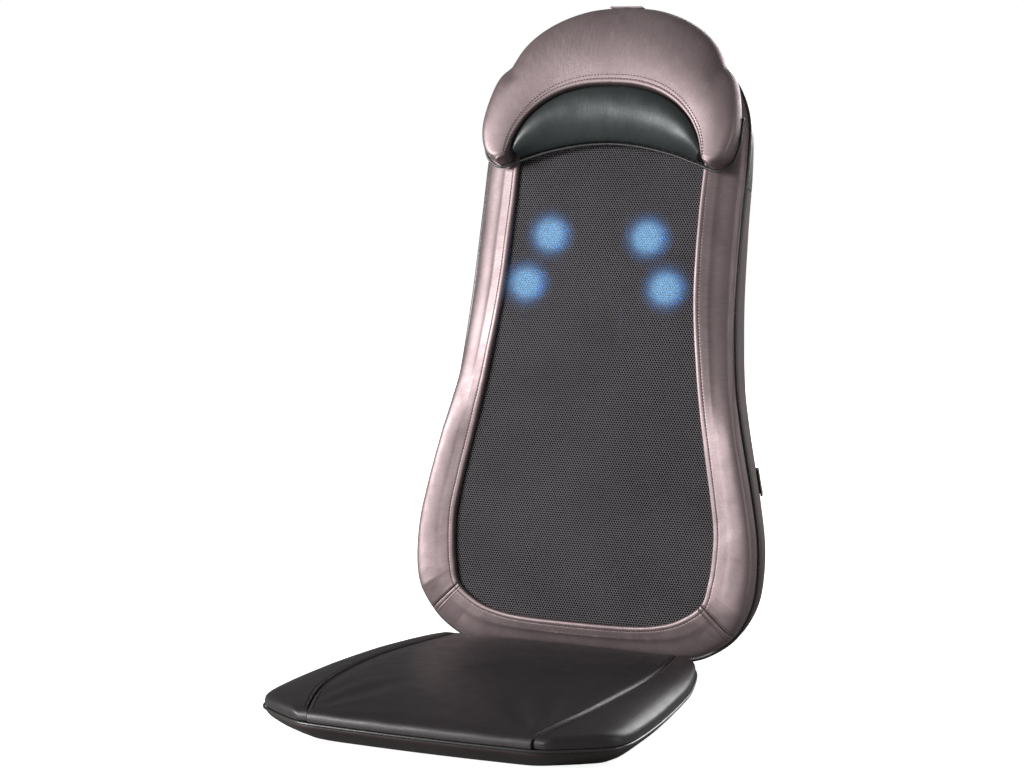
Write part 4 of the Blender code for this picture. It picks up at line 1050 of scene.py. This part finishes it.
def cushion_insert():
    section = [tuple(p) for p in smooth_line(INSERT_SECTION, 3)]
    section += [(1.0, CUSHION_BACK), (0.5, CUSHION_BACK), (0.0, CUSHION_BACK)]
    rings = []
    for side, station in mirrored(np.linspace(6.9, 0.0, 70)):
        ring = []
        for a, d in section:
            spot = cushion_spot(side, station, a, d, insert_curves, 0.06)
            wave = ripple(spot, 34.0, 0.0005, 9.0) * math.sin(math.pi * min(max(a, 0.0), 1.0))
            ring.append(spot + Vector((0.0, wave, 0.0)))
        rings.append(ring)
    loft("cushion_insert", rings, "insert", "head_cushion")


def cushion_piping():
    steps = 13 * 14
    last = len(CUSHION_PIPING) - 1.0
    right = [spline(CUSHION_PIPING, last * s / steps) for s in range(steps + 1)]
    left = [p * np.array((-1.0, 1.0)) for p in reversed(right[:-1])]
    points = [back_point(p[0], -0.0128, p[1]) for p in right + left]
    tube("cushion_piping", points, 0.0017, 12, "piping", "head_cushion")


def cushion_flap():
    """Light leather tab sewn over the cushion's top, which hinges it to the back."""
    path = [(-0.02, 0.801), (-0.01, 0.8028), (0.008, 0.8026), (0.026, 0.7983),
            (0.042, 0.7905), (0.05, 0.783), (0.0513, 0.7798)]
    line = smooth_line(path, 8)
    thick = 0.0022
    rings = []
    for x in np.linspace(-FLAP_HALF, FLAP_HALF, 25):
        edge = 1.0 - min((FLAP_HALF - abs(x)) / 0.002, 1.0)
        body = thick * (1.0 - 0.5 * edge * edge)
        top = [back_point(x, depth, v + body) for depth, v in line]
        low = [back_point(x, depth, v + thick - body) for depth, v in reversed(line)]
        rings.append(top + low)
    loft("cushion_flap", rings, "tab", "head_cushion")
    rows = [[back_point(x, depth, v + thick + 0.0001) for depth, v in line[:-4]]
            for x in (0.003 - FLAP_HALF, FLAP_HALF - 0.003)]
    stitches("flap_stitching", rows, "thread", "head_cushion", front=Vector((0, 0.2, 1)))


FLAP_HINGE = (0.458346, 0.763044)
FLAP_ROOT = [FLAP_HINGE, (0.4597, 0.756), (0.4606, 0.747), (0.4606, 0.739), (0.4593, 0.729),
             (0.4576, 0.719)]


def flap_root():
    """Fixed end of the tab, sewn to the shell's rear, and the hem that the flap folds about."""
    thick = 0.0018
    line = smooth_line(FLAP_ROOT, 6)
    rings = []
    for x in np.linspace(-FLAP_HALF, FLAP_HALF, 25):
        outer = [Vector((x, y, z)) for y, z in line]
        inner = [Vector((x, y - thick, z)) for y, z in reversed(line)]
        rings.append(outer + inner)
    loft("flap_root", rings, "tab", "back_unit")
    hem = [Vector((x, *FLAP_HINGE)) for x in np.linspace(-FLAP_HALF, FLAP_HALF, 20)]
    tube("flap_hem", hem, 0.0019, 14, "tab", "back_unit")
    rows = [[Vector((x, y + 0.0001, z)) for x in np.linspace(-0.0195, 0.0195, 12)]
            for y, z in (line[-3], line[-9])]
    stitches("flap_root_stitching", rows, "thread", "back_unit", front=Vector((0, 1, 0)))


# ---- seat pad ----

def smooth_table(points):
    """A table of (y, x) read smoothly between its points."""
    dense = smooth_line(points, 8)
    ys = [p[0] for p in dense]
    xs = [p[1] for p in dense]
    return lambda y: np.interp(y, ys, xs)


SEAT_HALF = smooth_table(SEAT_EDGE)
SEAM_HALF = smooth_table(SEAT_SEAM)
SEAT_BASE = SEAT_SPLIT + 0.0021
SEAM_ROLL = 0.0034
EDGE_ROLL = 0.015
SEAM_DIP = 0.16


def seat_front(x):
    return SEAT_FRONT + 0.25 * x * x


def rolled(distance, radius):
    """Share of full height near a rounded edge."""
    inside = 1.0 - min(max(distance, 0.0) / radius, 1.0)
    return math.sqrt(max(0.0, 1.0 - inside * inside))


def seat_height(x, y, front, rear):
    """Pad's top: crowned both ways, highest a little ahead of its middle."""
    t = min(max((y - front) / (rear - front), 0.0), 1.0)
    across = min(abs(x) / SEAT_HALF(y), 1.0)
    return SEAT_TOP + SEAT_CROWN * (1.0 - across ** 4) * math.sin(math.pi * t ** 0.75)


def seat_panel(name, side, low_half, high_half, front_line, steps_across):
    """Puffed panel between two half-width functions of y, mirrored by side."""
    rows = 96
    rings = []
    free = []
    for row in range(rows + 1):
        share = row / rows
        share = share - 0.55 * math.sin(math.tau * share) / math.tau
        top = []
        low = []
        for step in range(steps_across + 1):
            f = step / steps_across
            f = f - 0.5 * math.sin(math.tau * f) / math.tau
            x, y, edge, seam = panel_spot(side, share, f, low_half, high_half, front_line)
            full = seat_height(x, y, front_line(x), SEAT_REAR) - SEAT_BASE
            along = min(y - front_line(x), SEAT_REAR - y)
            height = full * min(0.42 + 0.58 * rolled(along, EDGE_ROLL), edge)
            wave = ripple(Vector((x, y, 0.3)), 22.0, 0.0009, 3.0) * seam
            top.append(Vector((x, BACK_Y + y, SEAT_BASE + height + wave)))
            low.append(Vector((x, BACK_Y + y * 0.999, SEAT_BASE)))
            free.append(max(0.0, min(along / 0.03, 1.0) * seam))
        rings.append(top + list(reversed(low)))
        free += [0.0] * (steps_across + 1)
    piece = loft(name, rings, "seat", None, crease=65.0)
    inflate(piece, free, 2.0, 0.0018)
    take_place(piece, name, "seat_pad")


def panel_spot(side, share, f, low_half, high_half, front_line):
    """Plan place of a panel's point, its edge rounding and how free it is to puff."""
    guess = SEAT_REAR + (SEAT_FRONT - SEAT_REAR) * (1.0 - share)
    low = low_half(guess)
    high = high_half(guess)
    x = low + (high - low) * f
    y = front_line(x) * (1.0 - share) + SEAT_REAR * share
    low = low_half(y)
    high = max(high_half(y), low + 0.004)
    x = low + (high - low) * f
    if side is None:
        gap = high - abs(x)
        return x, y, 1.0 - SEAM_DIP + SEAM_DIP * rolled(gap, SEAM_ROLL), min(gap / 0.03, 1.0)
    inner_gap = x - low
    outer_gap = high - x
    edge = min(1.0 - SEAM_DIP + SEAM_DIP * rolled(inner_gap, SEAM_ROLL),
               0.42 + 0.58 * rolled(outer_gap, EDGE_ROLL))
    return side * x, y, edge, min(inner_gap / 0.025, outer_gap / 0.03, 1.0)


def seat_centre():
    half = lambda y: SEAM_HALF(y) - 0.0006
    seat_panel("seat_centre", None, lambda y: -half(y), half, seat_front, 60)


def seat_sides():
    front = lambda x: SEAT_EDGE[0][0] + 0.0035 + max(0.0, abs(x) - 0.135) * 0.05
    near = lambda y: SEAM_HALF(y) + 0.0006
    for name, side in (("seat_side_left", -1.0), ("seat_side_right", 1.0)):
        seat_panel(name, side, near, SEAT_HALF, front, 24)


def seat_outline():
    """Right half of the seat in plan from rear centre to front centre."""
    rear = [(x, SEAT_REAR) for x in (0.0, 0.05, 0.1)]
    side = [(x, y) for y, x in reversed(SEAT_EDGE)]
    front = [(x, seat_front(x)) for x in (0.095, 0.06, 0.03, 0.0)]
    return rear + side + front


def seat_loop(offset, z):
    """Closed loop round the seat at a height, moved outward by offset."""
    half = smooth_line(seat_outline(), 6)
    loop = half + [p * np.array((-1.0, 1.0)) for p in reversed(half[1:-1])]
    count = len(loop)
    moved = []
    for index in range(count):
        tangent = loop[(index + 1) % count] - loop[index - 1]
        tangent = tangent / np.linalg.norm(tangent)
        x, y = loop[index] + np.array((-tangent[1], tangent[0])) * offset
        moved.append(Vector((x, BACK_Y + y, z)))
    return moved


def seat_base():
    """Leather band under the pad, turned in beneath it, with a closed floor."""
    top = SEAT_SPLIT - 0.0021
    levels = [(-0.004, top), (-0.0016, top + 0.0001), (-0.001, top - 0.0008),
              (-0.0022, 0.019), (-0.005, 0.0158), (-0.009, 0.0125)]
    rings = [seat_loop(offset, z) for offset, z in levels]
    middle = sum(rings[-1], Vector()) / len(rings[-1])
    inwards = [(0.967, 0.007), (0.93, 0.003), (0.895, 0.0006), (0.86, 0.0), (0.845, 0.0),
               (0.75, 0.0), (0.55, 0.0), (0.35, 0.0), (0.15, 0.0), (0.03, 0.0)]
    for share, z in inwards:
        ring = [middle + (p - middle) * share for p in rings[len(levels) - 1]]
        rings.append([Vector((p.x, p.y, z)) for p in ring])
    loft("seat_base", rings, "band", "seat_pad", crease=60.0)


def seat_piping():
    points = seat_loop(0.0006, SEAT_SPLIT)
    rings = []
    count = len(points)
    for index, point in enumerate(points):
        along = (points[(index + 1) % count] - points[index - 1]).normalized()
        upright = Vector((0.0, 0.0, 1.0))
        rings.append(circle(point, along.cross(upright), upright, 0.0017, 10))
    loft("seat_piping", rings, "piping", "seat_pad", closed=True)


def seat_stitching():
    """A row just outside each long seam of the seat."""
    rows = []
    for side in (-1.0, 1.0):
        for shift in (-0.0052, 0.0054):
            row = []
            for y in np.linspace(-0.448, -0.044, 120):
                x = SEAM_HALF(y) + shift
                full = seat_height(x, y, seat_front(x), SEAT_REAR) - SEAT_BASE
                along = min(y - seat_front(x), SEAT_REAR - y)
                height = full * (0.42 + 0.58 * rolled(along, EDGE_ROLL))
                row.append(Vector((side * x, BACK_Y + y, SEAT_BASE + height)))
            rows.append(row)
    stitches("seat_stitching", rows, "dark_thread", "seat_pad", front=Vector((0, 0, 1)))


# ---- lit nodes and hard parts ----

def node_halos():
    """Painted soft round glow in front of each node, carried by its own disc."""
    for body, sign in (("massage_disc_left", -1.0), ("massage_disc_right", 1.0)):
        lean = math.radians(NODE_TILT) * -sign
        for place, way in (("upper", 1.0), ("lower", -1.0)):
            x = sign * DISC_X + math.sin(lean) * NODE_ORBIT * way + GLOW_SHIFT
            up = math.cos(lean) * NODE_ORBIT * way
            halo("node_glow_%s_%s" % (body[13:], place), x, GLOW_DEPTH - 0.0004 * way, up, body)


def halo(name, x, depth, up, body):
    rows = 9
    sides = 40
    vertices = [tuple(rail_point(x, depth, up))]
    places = [(0.0, 0.0)]
    for row in range(1, rows + 1):
        for step in range(sides):
            angle = math.tau * step / sides
            share = row / rows
            a = share * math.cos(angle)
            b = share * math.sin(angle)
            vertices.append(tuple(rail_point(x + a * GLOW_RADIUS, depth, up + b * GLOW_RADIUS)))
            places.append((a, b))
    faces = [(0, 1 + s, 1 + (s + 1) % sides) for s in range(sides)]
    for row in range(rows - 1):
        for step in range(sides):
            a = 1 + row * sides + step
            b = 1 + row * sides + (step + 1) % sides
            faces.append((a, a + sides, b + sides, b))
    mesh = bpy.data.meshes.new(name)
    mesh.from_pydata(vertices, [], faces)
    layer = mesh.uv_layers.new(name="Reach")
    for loop in mesh.loops:
        layer.data[loop.index].uv = places[loop.vertex_index]
    finish_mesh(name, mesh, "halo", body, 180.0)


# the frame's own pieces that stay in view, by the start of their names
HARD_PARTS = {
    "shell": ("rear_shell",),
    "inner": ("front_frame", "rail_bracket", "carriage_", "screw_coupler", "node_arm",
              "power_socket"),
    "shell_smooth": ("controller_body",),
    "grey": ("button_",),
    "nylon": ("worm_wheel",),
    "steel": ("guide_rail", "travel_motor", "massage_motor", "lead_screw", "worm_shaft",
              "disc_shaft", "vibration_motor"),
    "brass": ("rail_bush", "screw_nut", "worm_left", "worm_right", "vibration_weight"),
    "board": ("control_board",),
    # the massage nodes wear the painted glow
    "glow": ("massage_node",),
}


def soften_edges(node, width):
    """Join the node's faces and round its edges a little."""
    weld = node.modifiers.new("weld", "WELD")
    weld.merge_threshold = 0.00001
    bevel = node.modifiers.new("edges", "BEVEL")
    bevel.width = width
    bevel.segments = 2
    bevel.limit_method = "ANGLE"
    bevel.angle_limit = math.radians(40.0)


def hard_parts():
    for key, starts in HARD_PARTS.items():
        for name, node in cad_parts.items():
            if name.startswith(starts):
                node.data.materials.clear()
                node.data.materials.append(SLOTS[key])
    for name in ("controller_body", "button_power", "button_massage", "button_heat"):
        soften_edges(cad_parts[name], 0.0006)


# ---- studio ----

def area_light(name, place, target, size, power):
    lamp = bpy.data.lights.new(name, "AREA")
    lamp.shape = "RECTANGLE"
    lamp.size = size[0]
    lamp.size_y = size[1]
    lamp.energy = power
    holder = bpy.data.objects.new(name, lamp)
    holder.location = place
    direction = Vector(target) - Vector(place)
    holder.rotation_mode = "QUATERNION"
    holder.rotation_quaternion = direction.to_track_quat("-Z", "Y")
    bpy.context.scene.collection.objects.link(holder)


def floor_material():
    """Pale seamless paper, lit a little from below so that only contact shadows show."""
    slot, n = material("studio_floor")
    tone = n.span(n.noise(1.5), 0.3, 0.7)
    pale = n.mix(tone, (0.86, 0.86, 0.86), (0.89, 0.89, 0.89))
    direct = n.seen_directly()
    n.surface({"Base Color": n.mix(direct, (0.3, 0.3, 0.3), pale), "Roughness": 0.9,
               "Emission Color": (1.0, 1.0, 1.0), "Emission Strength": n.times(direct, 0.9)})
    return slot


WORLD_LIGHT = 0.15


def studio_world():
    """White behind the object, and a dim even light on it."""
    world = bpy.data.worlds.new("studio")
    world.use_nodes = True
    n = Nodes(world.node_tree)
    background = world.node_tree.nodes["Background"]
    n.feed(background.inputs["Color"], (1.0, 1.0, 1.0))
    strength = n.span(n.seen_directly(), 0.0, 1.0, WORLD_LIGHT, 1.0, smooth=False)
    n.feed(background.inputs["Strength"], strength)
    bpy.context.scene.world = world


def studio():
    low = CAD_BOX[0].z - 0.001
    mesh = bpy.data.meshes.new("floor")
    reach = 14.0
    mesh.from_pydata([(-reach, -reach, low), (reach, -reach, low), (reach, reach, low),
                      (-reach, reach, low)], [], [(0, 1, 2, 3)])
    mesh.materials.append(floor_material())
    floor = bpy.data.objects.new("floor", mesh)
    bpy.context.scene.collection.objects.link(floor)
    studio_world()
    middle = (0.0, 0.15, 0.4)
    area_light("key", (-3.15, -2.95, 1.45), middle, (2.2, 1.6), 300.0)
    area_light("rim", (2.3, 0.2, 0.8), middle, (0.3, 1.8), 9.0)
    area_light("back", (0.6, 3.4, 1.6), middle, (2.6, 1.8), 95.0)
    bpy.context.scene.view_settings.view_transform = "Standard"


def camera():
    lens = bpy.data.cameras.new("camera")
    lens.sensor_width = 36.0
    lens.lens = CAMERA_LENS
    lens.clip_start = 0.05
    lens.clip_end = 60.0
    holder = bpy.data.objects.new("camera", lens)
    azimuth = math.radians(CAMERA_AZIMUTH)
    elevation = math.radians(CAMERA_ELEVATION)
    roll = math.radians(CAMERA_ROLL)
    back = Vector((math.sin(azimuth) * math.cos(elevation),
                   -math.cos(azimuth) * math.cos(elevation), math.sin(elevation)))
    right = Vector((math.cos(azimuth), math.sin(azimuth), 0.0))
    up = back.cross(right)
    turned = right * math.cos(roll) + up * math.sin(roll)
    raised = up * math.cos(roll) - right * math.sin(roll)
    holder.location = CAMERA_TARGET + back * CAMERA_DISTANCE
    holder.rotation_mode = "QUATERNION"
    holder.rotation_quaternion = Matrix((turned, raised, back)).transposed().to_quaternion()
    bpy.context.scene.collection.objects.link(holder)
    bpy.context.scene.camera = holder


def build():
    border_side("border_right", 1.0)
    border_side("border_left", -1.0)
    border_bottom()
    border_stitching()
    mesh_panel()
    edge_piping()
    rear_cover()
    top_gusset()
    straps()
    fold_gusset()
    controller_pocket()
    controller_cable()
    cushion_pad()
    cushion_stitching()
    cushion_insert()
    cushion_piping()
    cushion_flap()
    flap_root()
    seat_centre()
    seat_sides()
    seat_base()
    seat_piping()
    seat_stitching()
    node_halos()
    hard_parts()
    studio()
    camera()


build()
